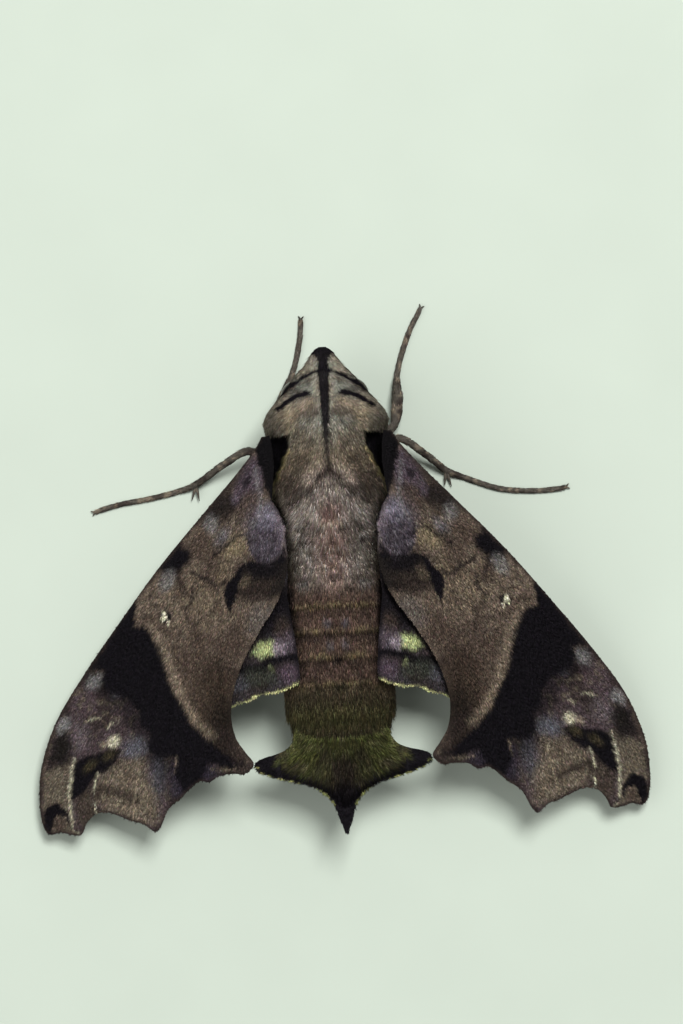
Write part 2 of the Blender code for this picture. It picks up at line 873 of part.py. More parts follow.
def coil():
    """The tongue, rolled up between the palps."""
    back, side, height = TONGUE
    count = 20
    points = []
    for out in (-TONGUE_THICKNESS / 2, TONGUE_THICKNESS / 2):
        for step in range(count):
            angle = 2 * math.pi * step / count
            reach, rise = TONGUE_RADIUS * math.cos(angle), TONGUE_RADIUS * math.sin(angle)
            points.append(place(back + reach, side + out, height + rise))
    object_from("tongue", points, tube_faces(2, count), material("tongue_skin", DARK_BROWN, 0.5))


def main():
    clear_scene()
    part_body(body_whole())
    wings()
    tail_fan()
    legs()
    head_parts()


main()
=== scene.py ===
"""The looks of a resting hawkmoth: skins, scale coats, wings, eyes, legs, floor, light and camera.

Lengths here are in millimetres until a mesh is made, which is in metres. A place on the moth is
(back, side): how far it lies behind the tip of the head, and how far to the right of the middle
line. A third value is its height above the floor.
"""

import math

import bpy
import numpy as np
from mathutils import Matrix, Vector, geometry

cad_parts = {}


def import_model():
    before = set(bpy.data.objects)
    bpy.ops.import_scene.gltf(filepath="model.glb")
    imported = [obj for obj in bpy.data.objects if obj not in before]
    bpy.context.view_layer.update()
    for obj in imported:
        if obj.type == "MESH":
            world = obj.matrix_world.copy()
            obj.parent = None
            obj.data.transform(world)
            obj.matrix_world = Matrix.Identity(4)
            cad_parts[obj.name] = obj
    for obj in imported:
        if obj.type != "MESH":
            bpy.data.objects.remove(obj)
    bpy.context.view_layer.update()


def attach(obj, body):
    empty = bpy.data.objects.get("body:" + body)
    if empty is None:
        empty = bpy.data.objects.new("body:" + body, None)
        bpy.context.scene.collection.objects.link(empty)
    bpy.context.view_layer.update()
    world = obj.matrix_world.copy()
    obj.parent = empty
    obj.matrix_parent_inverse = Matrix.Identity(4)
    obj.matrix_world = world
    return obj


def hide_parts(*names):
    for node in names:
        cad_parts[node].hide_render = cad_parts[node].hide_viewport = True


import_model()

MM = 0.001
MIDDLE = 14.33

# The photograph's frame: pixels across and down, and pixels to a millimetre at the moth.
IMAGE_WIDTH = 683
IMAGE_HEIGHT = 1024
PIXELS_PER_MM = 15.5
HEAD_PIXEL = (322.0, 347.0)
BODY_TURN = 0.0516
CAMERA_DISTANCE = 0.3
CAMERA_LEVEL = 5.0
SENSOR = 36.0
CLIP_START = 0.01

# The body: back, half width, underside, top.
BODY = (
    (0.0, 0.32, 4.75, 5.25),
    (0.3, 0.62, 4.5, 5.5),
    (0.9, 1.2, 4.15, 5.9),
    (1.9, 2.15, 3.5, 6.7),
    (3.0, 3.05, 2.9, 7.6),
    (3.8, 3.7, 2.45, 8.25),
    (4.7, 4.05, 2.0, 8.9),
    (6.0, 3.95, 1.75, 9.45),
    (8.0, 4.0, 1.6, 9.8),
    (10.0, 4.1, 1.6, 9.7),
    (12.0, 4.05, 1.65, 9.1),
    (14.0, 3.9, 1.8, 8.1),
    (17.0, 4.0, 2.0, 7.4),
    (20.0, 3.95, 2.3, 7.1),
    (22.8, 3.75, 2.8, 6.7),
    (25.0, 3.2, 3.4, 6.3),
)
BODY_END = 25.0
WAIST = 13.8
RINGS = (16.4, 18.1, 19.75, 21.5, 23.4)
RING_LIP = 0.025
COAT_DEPTH = 0.3
BODY_SIDES = 220
BODY_STEP = 0.1
TIP_LENGTH = 1.0
TIP_RINGS = 14

# Behind the collar's lobes a hollow lies on each side of the thorax: (back, where it starts).
HOLLOW_EDGE = (
    (5.3, 4.6), (5.42, 2.35), (6.3, 2.45), (6.94, 2.72), (7.6, 3.0), (8.4, 3.4), (9.7, 3.85),
    (10.4, 4.4),
)
HOLLOW_BLEND = 0.35
HOLLOW_DEPTH = 0.62
CREST_RISE = 0.18
CREST_REACH = 0.22
GROOVE_DEPTH = 0.14
GROOVE_REACH = 0.18
LOBE_RISE = 0.16

EYE = (3.1, 1.8, 4.0)
EYE_RADIUS = 1.05
# Hair keeps this far from an eye, and its rings start and end at this angle.
EYE_MARGIN = 0.1
EYE_POLE = 0.02
BROW_RISE = 0.5

ROOF_TOP = 8.4
ROOF_START = 2.5
ROOF_SLOPE = 0.36
DROOP_START = 12.0
DROOP = 0.05
HIND_DROP = 0.85
SKIN_TOP = 0.12
SKIN_BOTTOM = -0.06

# The forewing's outline from the shoulder round the apex and the hooks back to the body.
FORE_EDGE = (
    (5.65, 4.15), (6.4, 4.6), (8.1, 6.05), (9.8, 7.65), (13.7, 11.25), (17.1, 14.0), (20.2, 16.4),
    (23.4, 18.55), (26.4, 19.7), (28.7, 19.95), (30.3, 19.75), (30.75, 19.35), (30.62, 18.65),
    (30.8, 17.9), (30.78, 17.25), (30.15, 16.95), (29.5, 16.3), (29.4, 15.5), (29.7, 14.6),
    (30.0, 13.9), (30.25, 13.1), (30.75, 12.4), (30.4, 12.0), (29.3, 11.45), (28.55, 10.5),
    (28.15, 10.1), (27.55, 9.3), (27.65, 8.7), (27.25, 8.0), (27.15, 7.0), (27.2, 6.4),
    (26.6, 5.75), (25.8, 6.25), (24.9, 6.8), (23.6, 7.05), (22.2, 6.9), (20.2, 6.2), (18.0, 4.9),
    (16.4, 3.8), (15.2, 3.2),
)
COSTA_END = 11
HOOKS_END = 33
FORE_ROOT = (
    (13.6, 2.85), (11.5, 3.0), (10.4, 3.3), (9.7, 3.7), (8.85, 3.6), (7.6, 3.45), (6.5, 3.5),
    (5.6, 3.65),
)
FORE_VEINS = (
    ((8.6, 4.7), (12.5, 8.6), (16.3, 11.9), (21.3, 16.6)),
    ((16.3, 11.9), (23.0, 16.1), (29.9, 19.0)),
    ((16.3, 11.9), (17.3, 11.6), (23.5, 15.1), (30.3, 17.6)),
    ((17.3, 11.6), (17.7, 10.9), (23.6, 13.5), (29.1, 15.9)),
    ((8.6, 4.7), (12.6, 7.3), (17.2, 9.9), (17.7, 10.9)),
    ((17.7, 10.9), (23.5, 12.1), (29.6, 13.8)),
    ((17.2, 9.9), (23.5, 10.9), (30.2, 12.3)),
    ((14.6, 8.4), (21.0, 9.2), (28.1, 10.3)),
    ((8.6, 4.7), (13.0, 5.5), (19.0, 7.4), (26.9, 7.1)),
)
# The pad of long scales that covers the forewing's root: its middle, reach, lean and rise.
PAD = (11.8, 4.05)
PAD_REACH = (1.7, 1.15)
PAD_LEAN = 0.15
PAD_RISE = 0.12

HIND_EDGE = (
    (11.6, 5.6), (14.5, 8.3), (18.0, 11.3), (21.4, 13.9), (23.7, 14.6), (25.1, 13.4), (25.5, 11.2),
    (24.6, 9.2), (23.4, 7.6), (22.75, 6.6), (22.5, 5.7), (22.15, 5.0), (22.1, 4.1), (21.75, 3.1),
    (21.45, 2.55), (19.5, 2.6), (17.5, 2.85), (16.0, 3.05),
)
HIND_REAR = slice(8, 15)
HIND_INNER = slice(14, 18)
HIND_ROOT = ((13.5, 2.9), (11.2, 3.4))
HIND_VEINS = (
    ((12.4, 5.0), (16.5, 8.6), (22.8, 13.2)),
    ((12.4, 5.0), (17.0, 7.8), (24.6, 10.7)),
    ((12.4, 5.0), (17.0, 6.6), (23.0, 7.8)),
    ((12.4, 5.0), (16.4, 4.6), (21.4, 4.6)),
)
VEIN_RISE = 0.07
VEIN_REACH = 0.22
WING_NET = 0.22
EDGE_STEP = 0.16

FAN_EDGE = (
    (25.3, 3.15), (25.8, 3.6), (26.1, 4.3), (26.3, 5.1), (26.55, 5.6), (26.9, 5.65), (27.25, 5.2),
    (27.6, 4.3), (27.85, 3.4), (28.15, 2.2), (28.75, 1.25), (29.4, 0.75), (30.3, 0.42),
    (31.25, 0.1),
)
FAN_REAR = slice(3, 14)
FAN_GOLD = slice(5, 12)
FAN_ROOT = (24.2, 2.9)
FAN_LEVEL = 4.85
FAN_RISE = 0.12
FAN_CORE = 1.1
FAN_CORE_WIDTH = 3.9
FAN_CORE_LENGTH = 4.6
FAN_EDGE_HALF = 0.1

# Legs as (back, side, height, radius) along each, from the body to the claws.
FORELEG_R = (
    (5.3, 1.9, 1.9, 0.32), (5.75, 3.3, 1.35, 0.4), (5.35, 4.3, 1.5, 0.36), (4.6, 4.6, 1.35, 0.42),
    (3.3, 4.75, 1.1, 0.42), (2.3, 4.75, 0.7, 0.32), (1.7, 4.85, 0.42, 0.27),
    (0.65, 5.15, 0.25, 0.28), (-0.9, 5.75, 0.25, 0.27), (-1.9, 6.3, 0.25, 0.25),
    (-2.4, 6.57, 0.25, 0.2),
)
FORELEG_L = (
    (5.1, -1.9, 1.9, 0.32), (5.2, -2.9, 1.35, 0.4), (4.6, -3.3, 1.5, 0.36),
    (3.6, -2.95, 1.25, 0.42), (2.4, -2.4, 0.85, 0.38), (1.5, -2.05, 0.5, 0.28),
    (0.4, -1.7, 0.25, 0.28), (-0.9, -1.42, 0.25, 0.27), (-1.6, -1.35, 0.25, 0.25),
    (-2.05, -1.31, 0.25, 0.2),
)
MIDLEG_R = (
    (7.7, 2.35, 1.95, 0.34), (7.0, 3.6, 1.9, 0.42), (6.1, 4.65, 2.5, 0.36), (7.2, 6.35, 1.55, 0.34),
    (8.35, 7.75, 0.55, 0.32), (8.9, 9.0, 0.27, 0.28), (9.7, 11.2, 0.25, 0.27),
    (9.95, 13.4, 0.25, 0.26), (9.9, 15.0, 0.25, 0.25), (9.8, 15.5, 0.25, 0.2),
)
MIDLEG_L = (
    (7.8, -2.35, 1.95, 0.34), (7.3, -3.8, 2.0, 0.42), (6.45, -5.1, 2.6, 0.36),
    (7.15, -6.7, 1.85, 0.34), (8.45, -8.8, 0.6, 0.32), (8.85, -10.1, 0.27, 0.28),
    (9.2, -11.9, 0.25, 0.27), (9.45, -13.7, 0.25, 0.26), (9.75, -15.0, 0.25, 0.25),
    (9.9, -15.45, 0.25, 0.2),
)
HINDLEG = (
    (10.3, 2.1, 1.95, 0.34), (11.4, 3.4, 1.8, 0.44), (12.9, 4.9, 2.3, 0.38),
    (15.0, 5.9, 1.45, 0.34), (17.0, 6.7, 0.55, 0.32), (18.4, 7.2, 0.27, 0.28),
    (20.3, 7.9, 0.25, 0.27), (22.2, 8.6, 0.25, 0.25), (22.7, 8.76, 0.25, 0.2),
)
SPURS = {
    "midleg_R": (((8.3, 7.7, 0.5), (9.4, 8.0, 0.25)), ((8.3, 7.7, 0.5), (9.3, 7.55, 0.35))),
    "midleg_L": (((8.4, -8.7, 0.5), (9.45, -9.05, 0.25)), ((8.4, -8.7, 0.5), (9.5, -8.55, 0.35))),
    "hindleg_R": (((16.9, 6.7, 0.5), (17.8, 7.85, 0.3)), ((15.0, 5.9, 1.4), (15.7, 7.0, 0.9))),
}
SPUR_THICK = 0.11
# A claw from the foot's tip: ahead, out to the side, height and radius.
CLAW = ((0.0, 0.04, 0.2, 0.06), (0.12, 0.1, 0.2, 0.05), (0.2, 0.18, 0.08, 0.02))
LEG_FINENESS = 0.58
# Parts of a leg with more than this radius in the table are shanks, and keep more of it.
FOOT_RADIUS = 0.3
SHANK_SWELL = 2.0
# Each hip starts this far above the leg's first point, inside the body, and is this much wider.
HIP_RISE = 1.3
HIP_WIDTH = 1.4
HIP_INWARD = 0.85
LEG_SEGMENT = 1.05
FEELER_SEGMENT = 0.24
ANTENNA = (
    (4.2, 2.75, 3.3, 0.2), (5.6, 3.6, 3.2, 0.25), (7.2, 4.35, 3.7, 0.27), (9.2, 5.1, 4.3, 0.3),
    (11.2, 5.9, 4.75, 0.33), (12.9, 6.7, 4.95, 0.33), (14.0, 7.3, 4.95, 0.25),
    (14.5, 7.75, 4.85, 0.06),
)
PALP = (
    (3.4, 0.85, 2.75, 0.42), (2.55, 0.86, 2.55, 0.5), (1.6, 0.76, 3.1, 0.5),
    (0.85, 0.52, 3.8, 0.34), (0.45, 0.36, 4.2, 0.17),
)
TONGUE = (2.7, 0.0, 2.1)
TONGUE_TURNS = 3.2
TONGUE_REACH = (0.6, 0.16)
TONGUE_RADIUS = (0.085, 0.06)
TONGUE_WIDTH = 1.8

# Colours, as linear red, green and blue.
BLACK = (0.003, 0.0022, 0.0035)
DARK = (0.019, 0.013, 0.011)
UMBER = (0.053, 0.037, 0.028)
BROWN = (0.135, 0.104, 0.079)
TAN = (0.2, 0.16, 0.115)
BEIGE = (0.29, 0.235, 0.165)
CREAM = (0.55, 0.52, 0.37)
GREY = (0.14, 0.135, 0.13)
PURPLE = (0.083, 0.064, 0.078)
BLUE_GREY = (0.092, 0.094, 0.11)
OLIVE = (0.048, 0.052, 0.016)
GOLD = (0.24, 0.195, 0.09)
YELLOW = (0.36, 0.41, 0.19)
MOUSE = (0.137, 0.142, 0.118)
LEG_BROWN = (0.062, 0.054, 0.044)
HORN = (0.09, 0.05, 0.028)
FRINGE = (0.26, 0.27, 0.1)
PAPER_LIGHT = (0.43, 0.485, 0.415, 1.0)
PAPER_DARK = (0.4, 0.45, 0.385, 1.0)
FACET_EDGE = (0.035, 0.02, 0.014, 1.0)
FACET_MIDDLE = (0.006, 0.004, 0.004, 1.0)
UNDERSIDE = (0.17, 0.14, 0.11)
# The eye's roughness and specular level, its facets to a metre, and their bump and depth.
EYE_GLOSS = (0.15, 0.3)
FACETS = 22000.0
FACET_BUMP = (0.1, 0.000005)
PAPER_ROUGHNESS = 0.9
PAPER_CLOUDS = 120.0
# A skin's colours are darker than the coat's by this share, and a wing's underside is mixed.
BODY_SHADE = 0.7
SKIN_SHADE = 0.75
FAN_UNDER_SHADE = 0.6
WING_UNDER_SHADE = 0.5
WING_UNDER_TINT = 0.7

# Each finish: roughness, scale of the grain, strength of its bump and specular level.
FINISHES = {
    "body_skin_scales": (0.9, 9000.0, 0.5, 0.1),
    "wing_skin_scales": (0.9, 9000.0, 0.4, 0.1),
    "fan_skin_scales": (0.9, 9000.0, 0.4, 0.1),
    "leg_skin_scales": (0.7, 7000.0, 0.4, 0.1),
    "antenna_skin_scales": (0.65, 6000.0, 0.5, 0.1),
    "palp_skin_scales": (0.85, 6000.0, 0.5, 0.1),
    "tongue_horn": (0.4, 5000.0, 0.4, 0.5),
}
COAT_FINISH = (0.75, 5200.0, 0.0, 0.1)
GRAIN_RANGE = (0.55, 1.45)
GRAIN_DEPTH = 0.00005

# Each coat: tufts, and their length, width and lift, which is a share of the length.
FORE_COAT = (49500, (0.34, 0.075, 0.09))
PAD_COAT = (5000, (0.5, 0.08, 0.12))
HIND_COAT = (18000, (0.36, 0.085, 0.1))
FAN_COAT = (15000, (0.9, 0.09, 0.08))
LEG_COAT = (3000, (0.2, 0.045, 0.18))
PALP_COAT = (3500, (0.28, 0.055, 0.22))
# Wing scales lie away from this place, and are shorter near the edge.
SCALES_START = (3.5, 1.5)
WING_EDGE = (0.5, 0.4)
FAN_EDGE_SCALES = (0.9, 0.25)

# Each lamp: name, place in metres, size and power.
LAMPS = (("key", (0.1, 0.2, 0.52), 0.18, 4.0), ("fill", (-0.35, -0.05, 0.45), 0.5, 1.4))
SKY = 0.3
FLOOR_REACH = 0.6
# Legs and scales come no closer to the floor than this.
FLOOR_GAP = 0.004
NOISE_GRID = 64
# The net of a flat form: the gap between its rows, and between them and the edge, in spacings.
NET_ROWS = 0.87
NET_RIM = 0.45
# Sides and step of each kind of tube.
LEG_NET = (20, 0.06)
SPUR_NET = (10, 0.12)
CLAW_NET = (8, 0.05)
FEELER_NET = (20, 0.05)
PALP_NET = (24, 0.06)
# Each segment of a leg or feeler is narrow at its start and flares to its end.
SEGMENT_WAIST = 0.92
SEGMENT_FLARE = 0.1
FEELER_FINENESS = 0.9
FEELER_SHADE = 0.7
FEELER_TINT = 0.4
LEG_COAT_SHADE = 1.1
PALP_SHADE = 0.4
PALP_COAT_SHADE = 0.5
# The fan's scales turn outwards beyond the first value, over the second, by the third at most.
FAN_SPREAD = (0.3, 2.5, 1.3)


def curve_values(table, at):
    """The columns of a station table at many places, on a smooth curve through its rows."""
    rows = np.array(table)
    index = np.clip(np.searchsorted(rows[:, 0], at) - 1, 0, len(rows) - 2)
    start, end = rows[index], rows[index + 1]
    before = rows[np.maximum(index - 1, 0)]
    after = rows[np.minimum(index + 2, len(rows) - 1)]
    span = (end[:, 0] - start[:, 0])[:, None]
    part = np.clip((at - start[:, 0])[:, None] / span, 0.0, 1.0)
    slope_in = (end - before) / (end[:, :1] - before[:, :1]) * span
    slope_out = (after - start) / (after[:, :1] - start[:, :1]) * span
    square, cube = part**2, part**3
    values = (2 * cube - 3 * square + 1) * start + (cube - 2 * square + part) * slope_in
    values += (3 * square - 2 * cube) * end + (cube - square) * slope_out
    return values[:, 1:].T


def rounded(points, step):
    """A smooth open line through the given points, with a point about every step."""
    points = np.array(points, float)
    spans = np.linalg.norm(np.diff(points[:, :3], axis=0), axis=1)
    distances = np.concatenate([[0.0], np.cumsum(spans)])
    table = np.column_stack([distances, points])
    places = []
    for start, end in zip(distances, distances[1:]):
        pieces = max(1, round((end - start) / step))
        places += list(start + (end - start) * np.arange(pieces) / pieces)
    places.append(distances[-1])
    return curve_values(table, np.array(places)).T


def mirrored(points):
    return [(point[0], -point[1], *point[2:]) for point in points]


def unit(vectors):
    return vectors / np.linalg.norm(vectors, axis=1)[:, None]


def full_turn(sides):
    return 2 * np.pi * np.arange(sides) / sides


def smoothstep(low, high, value):
    part = np.clip((value - low) / (high - low), 0.0, 1.0)
    return part * part * (3 - 2 * part)


def distance_to(line, plan):
    """The distance of each place of the plan to a drawn line."""
    nearest = np.full(len(plan), 1e9)
    line = np.array(line, float)
    for first, second in zip(line, line[1:]):
        along = second - first
        part = np.clip((plan - first) @ along / max(along @ along, 1e-12), 0.0, 1.0)
        gap = np.linalg.norm(plan - first - part[:, None] * along, axis=1)
        nearest = np.minimum(nearest, gap)
    return nearest


def within(outline, plan):
    """Whether each place of the plan lies inside a closed outline."""
    outline = np.array(outline, float)
    crossed = np.zeros(len(plan), bool)
    back, side = plan[:, 0], plan[:, 1]
    for first, second in zip(outline, np.roll(outline, -1, axis=0)):
        spans = (first[1] > side) != (second[1] > side)
        rise = second[1] - first[1]
        if rise == 0:
            continue
        at = first[0] + (side - first[1]) / rise * (second[0] - first[0])
        crossed ^= spans & (at > back)
    return crossed


def noise(plan, size, seed):
    """A smooth random field from 0 to 1, with features of a given size."""
    grid = np.random.default_rng(seed).random((NOISE_GRID, NOISE_GRID))
    at = plan / size + NOISE_GRID
    cell = np.floor(at).astype(int)
    part = at - cell
    part = part * part * (3 - 2 * part)
    low, high = cell % NOISE_GRID, (cell + 1) % NOISE_GRID
    across = part[:, 1]
    near = grid[low[:, 0], low[:, 1]] * (1 - across) + grid[low[:, 0], high[:, 1]] * across
    far = grid[high[:, 0], low[:, 1]] * (1 - across) + grid[high[:, 0], high[:, 1]] * across
    return near * (1 - part[:, 0]) + far * part[:, 0]


def wobbled(plan, amount, size, seed):
    """The plan with each place moved a little, so that drawn edges are ragged."""
    moved = plan.copy()
    moved[:, 0] += (noise(plan, size, seed) - 0.5) * 2 * amount
    moved[:, 1] += (noise(plan, size, seed + 1) - 0.5) * 2 * amount
    return moved


class Paint:
    """Colours of many places of the plan, laid on one marking after another."""

    def __init__(self, plan, ground, ragged, seed):
        self.plan = wobbled(plan, ragged, 0.55, seed)
        self.plan = wobbled(self.plan, ragged, 0.16, seed + 2)
        self.colour = np.tile(np.array(ground, float), (len(plan), 1))

    def mix(self, mask, colour, strength=1.0):
        share = (mask * strength)[:, None]
        self.colour = self.colour * (1 - share) + np.array(colour) * share

    def mottle(self, colour, size, seed, low=0.45, high=0.8, strength=0.6, area=None):
        mask = smoothstep(low, high, noise(self.plan, size, seed))
        if area is not None:
            mask = mask * within(area, self.plan)
        self.mix(mask, colour, strength)

    def stroke(self, line, width, colour, soft=0.08, strength=1.0):
        mask = 1 - smoothstep(width / 2 - soft, width / 2 + soft, distance_to(line, self.plan))
        self.mix(mask, colour, strength)

    def patch(self, corners, colour, soft=0.15, strength=1.0):
        far = distance_to([*corners, corners[0]], self.plan)
        signed = np.where(within(corners, self.plan), -far, far)
        self.mix(1 - smoothstep(-soft, soft, signed), colour, strength)

    def spot(self, centre, reach, colour, turn=0.0, soft=0.25, strength=1.0):
        offset = self.plan - np.array(centre)
        cosine, sine = math.cos(turn), math.sin(turn)
        along = (offset[:, 0] * cosine + offset[:, 1] * sine) / reach[0]
        across = (offset[:, 1] * cosine - offset[:, 0] * sine) / reach[1]
        mask = 1 - smoothstep(1 - soft, 1 + soft, np.hypot(along, across))
        self.mix(mask, colour, strength)

    def lay(self, *tables):
        """Lay on the rows of tables in their order: each is a kind of marking and its values."""
        kinds = {
            "spot": self.spot,
            "patch": self.patch,
            "stroke": self.stroke,
            "mottle": self.mottle,
        }
        for table in tables:
            for kind, *values in table:
                kinds[kind](*values)


# The black band across the forewing, round its outline.
BAND = (
    (15.3, 13.0), (15.75, 12.75), (16.4, 12.85), (17.3, 12.95), (17.4, 12.2), (18.1, 11.85),
    (18.9, 11.45), (19.4, 11.2), (20.6, 10.95), (21.9, 10.5), (22.9, 10.0), (23.9, 9.5),
    (24.7, 8.7), (25.6, 7.7), (26.3, 6.4), (26.7, 6.2), (26.6, 7.6), (26.3, 8.7), (27.9, 9.4),
    (28.2, 10.3), (27.0, 10.9), (25.9, 10.6), (25.8, 11.4), (25.85, 12.0), (25.3, 12.6),
    (24.8, 12.4), (24.1, 12.4), (23.8, 12.9), (22.7, 13.0), (21.9, 13.8), (21.5, 14.9),
    (20.7, 15.3), (20.1, 15.2), (19.9, 16.6),
)
BAND_LIGHT_EDGE = (
    (17.3, 11.8), (18.0, 11.5), (19.3, 10.9), (20.6, 10.6), (21.8, 10.15), (22.8, 9.7), (23.7, 9.2),
    (24.5, 8.4),
)
COMMA = (
    (13.45, 5.2), (13.54, 5.48), (13.77, 6.0), (14.38, 6.43), (14.93, 6.86), (15.6, 7.05),
    (16.13, 6.99), (16.64, 6.8), (16.03, 6.5), (15.22, 6.15), (14.42, 5.98), (13.75, 5.6),
)
# The dark field behind the pad: along the pad's rear edge it is painted shadow, further back the
# wing's own dark colour.
COMMA_SHADE = (
    (12.9, 2.6), (13.25, 3.6), (13.42, 4.5), (13.4, 5.4), (14.3, 6.2), (15.4, 6.5), (15.75, 6.3),
    (15.6, 5.3), (15.9, 4.2), (15.7, 2.6),
)
PAD_FIELD = ((9.9, 3.0), (10.2, 5.2), (13.3, 5.4), (13.4, 3.0))
# Painted shade: the black field beside the thorax, in the gap where it runs on over the wing's
# root.
SHOULDER_GAP_SHADE = (
    (5.2, 3.0), (5.4, 5.0), (6.3, 4.6), (7.42, 4.25), (8.85, 3.98), (9.9, 3.75), (9.7, 3.0),
)
COSTAL_SHADE = (
    (7.4, 5.0), (8.3, 5.6), (9.0, 6.3), (9.5, 5.75), (10.5, 6.1), (11.1, 6.65), (10.6, 7.2),
    (10.4, 8.4), (8.6, 6.9),
)
COSTAL_SPOT = (
    (12.65, 9.1), (12.4, 9.65), (11.9, 9.9), (13.6, 11.6), (13.95, 10.9), (14.1, 10.0), (13.7, 9.6),
    (13.25, 9.2),
)
COSTAL_PATCH = ((24.0, 17.8), (24.3, 18.7), (25.8, 19.2), (26.3, 18.1), (25.9, 17.7), (25.0, 17.5))
WEDGE = (
    (25.35, 14.28), (25.18, 14.81), (25.49, 15.72), (25.6, 16.77), (25.9, 17.34), (26.64, 17.57),
    (28.1, 17.83), (28.45, 17.75), (28.0, 17.04), (27.31, 16.42), (26.75, 15.92), (26.66, 15.4),
    (26.17, 14.76),
)
HORSESHOE = (
    (30.1, 17.93), (29.43, 17.99), (28.92, 18.25), (28.61, 18.79), (28.78, 19.37), (29.39, 19.67),
    (30.12, 19.77), (30.75, 19.54), (30.7, 19.2), (30.41, 19.14), (30.08, 19.04), (29.6, 19.0),
    (29.33, 18.69), (29.5, 18.3), (29.9, 18.12),
)
OCHRE_FIELD = (
    (25.9, 12.9), (26.0, 14.4), (26.9, 15.8), (28.2, 16.0), (29.2, 15.6), (29.6, 14.4),
    (30.2, 13.0), (29.8, 12.1), (28.6, 12.2), (27.3, 12.7),
)
OUTER_FIELD = ((19.6, 17.5), (21.5, 13.6), (26.0, 11.4), (26.6, 5.0), (32.0, 8.0), (32.0, 21.0))
TORNUS_FIELD = ((26.2, 8.4), (26.2, 10.9), (28.2, 11.5), (28.7, 10.7), (27.6, 9.0), (27.3, 7.6))
TIP_FIELD = ((25.8, 17.6), (26.5, 19.4), (28.6, 19.7), (30.6, 19.5), (30.7, 17.7), (28.6, 18.0))
CREAM_VEIN = (
    (25.71, 17.46), (26.44, 17.58), (27.44, 17.79), (28.7, 17.89), (30.21, 17.72), (30.85, 17.45),
)
CHEVRON = (
    (1.33, 0.0), (1.72, 1.05), (2.17, 1.8), (2.76, 2.6), (3.17, 3.18), (3.89, 3.85), (4.3, 4.1),
)
DASH = ((2.85, 0.97), (3.05, 1.7), (3.4, 2.22), (3.66, 2.7))
# Painted shade: the hollow beside the thorax, behind the collar's lobes, is coloured black.
SIDE_HOLLOW_SHADE = (
    (5.37, 2.32), (5.34, 3.64), (4.9, 5.0), (10.6, 5.0), (9.7, 3.8), (8.4, 3.36), (7.6, 2.97),
    (6.94, 2.7), (6.35, 2.45), (5.94, 2.3),
)
GOLD_EDGE = ((6.3, 2.3), (6.79, 2.6), (7.6, 2.92), (8.43, 3.3), (8.96, 3.51), (9.66, 3.77))
THORAX_FORK = ((7.6, 0.15), (8.3, 0.74), (8.8, 1.2), (9.25, 1.6), (9.6, 2.35))
CREST_WIDTH = (
    (0.0, 1.2), (0.4, 0.8), (0.8, 0.45), (1.25, 0.62), (2.0, 0.48), (2.9, 0.42), (3.6, 0.34),
    (4.6, 0.22), (7.4, 0.15),
)
REAR_THORAX = ((9.0, -1.0), (9.0, 5.0), (14.8, 5.0), (14.8, -1.0))

# Tables of markings have rows of these forms, laid on in their order:
# spot: middle, reach along and across, colour, turn, soft edge, strength;
# patch: outline, colour, soft edge, strength;
# stroke: line, width, colour, soft edge, strength;
# mottle: colour, size, seed, where it starts and is full, strength, field.

# The forewing's ground and its fine mottles.
WING_GROUND = (
    ("mottle", (0.135, 0.106, 0.078), 1.7, 21, 0.4),
    ("spot", (15.6, 8.3), (1.5, 1.6), (0.155, 0.122, 0.084), 0.0, 0.8, 0.7),
    ("spot", (14.2, 7.1), (0.6, 0.5), (0.16, 0.125, 0.08), 0.0, 0.6, 0.8),
    ("spot", (12.9, 6.9), (0.9, 0.7), (0.12, 0.093, 0.067), 0.5, 0.6, 0.6),
    ("mottle", UMBER, 1.0, 22, 0.5, 0.85),
    ("mottle", UMBER, 0.35, 23, 0.55, 0.85),
    ("mottle", DARK, 0.25, 24, 0.58, 0.82, 0.5),
)
# The forewing beyond its black band.
WING_BORDER = (
    ("patch", OUTER_FIELD, (0.052, 0.037, 0.04), 0.3, 0.95),
    ("mottle", DARK, 0.9, 31, 0.35, 0.65, 0.7, OUTER_FIELD),
    ("mottle", (0.12, 0.1, 0.07), 0.3, 34, 0.6, 0.85, 0.5, OUTER_FIELD),
    ("stroke", ((19.9, 16.4), (21.3, 14.9), (22.4, 13.6), (24.2, 12.7), (26.3, 11.6), (26.6, 9.8)),
     1.5, BLACK, 0.6, 0.75),
    ("patch", TORNUS_FIELD, (0.016, 0.013, 0.02), 0.4, 0.9),
    ("spot", (20.8, 15.8), (0.6, 0.4), GREY, 0.8, 0.6, 0.8),
    ("spot", (21.4, 14.2), (0.5, 0.25), BLUE_GREY, 0.8, 0.8, 0.4),
    ("spot", (24.4, 17.0), (0.9, 0.6), (0.11, 0.09, 0.095), 0.5, 0.8, 0.6),
    ("spot", (25.2, 13.4), (0.55, 0.7), BLUE_GREY, -0.3, 0.9, 0.8),
    ("spot", (27.3, 12.1), (1.2, 0.5), BLUE_GREY, 0.1, 0.9, 0.4),
    ("patch", OCHRE_FIELD, (0.133, 0.108, 0.078), 0.5, 0.95),
    ("mottle", UMBER, 0.5, 33, 0.5, 0.85, 0.5, OCHRE_FIELD),
    ("mottle", DARK, 0.16, 36, 0.55, 0.8, 0.5, OCHRE_FIELD),
    ("stroke", ((28.6, 13.6), (28.12, 14.4), (27.73, 15.74), (28.07, 15.98)), 0.55, DARK, 0.25,
     0.75),
    ("spot", (29.0, 16.8), (1.4, 0.7), (0.045, 0.034, 0.026), 0.1, 0.5, 0.9),
    ("spot", (26.9, 6.8), (0.5, 1.0), (0.04, 0.03, 0.024), 0.0, 0.5, 0.9),
    ("stroke", ((26.4, 6.1), (26.75, 7.2), (26.7, 8.4)), 0.14, BEIGE, 0.12, 0.45),
)
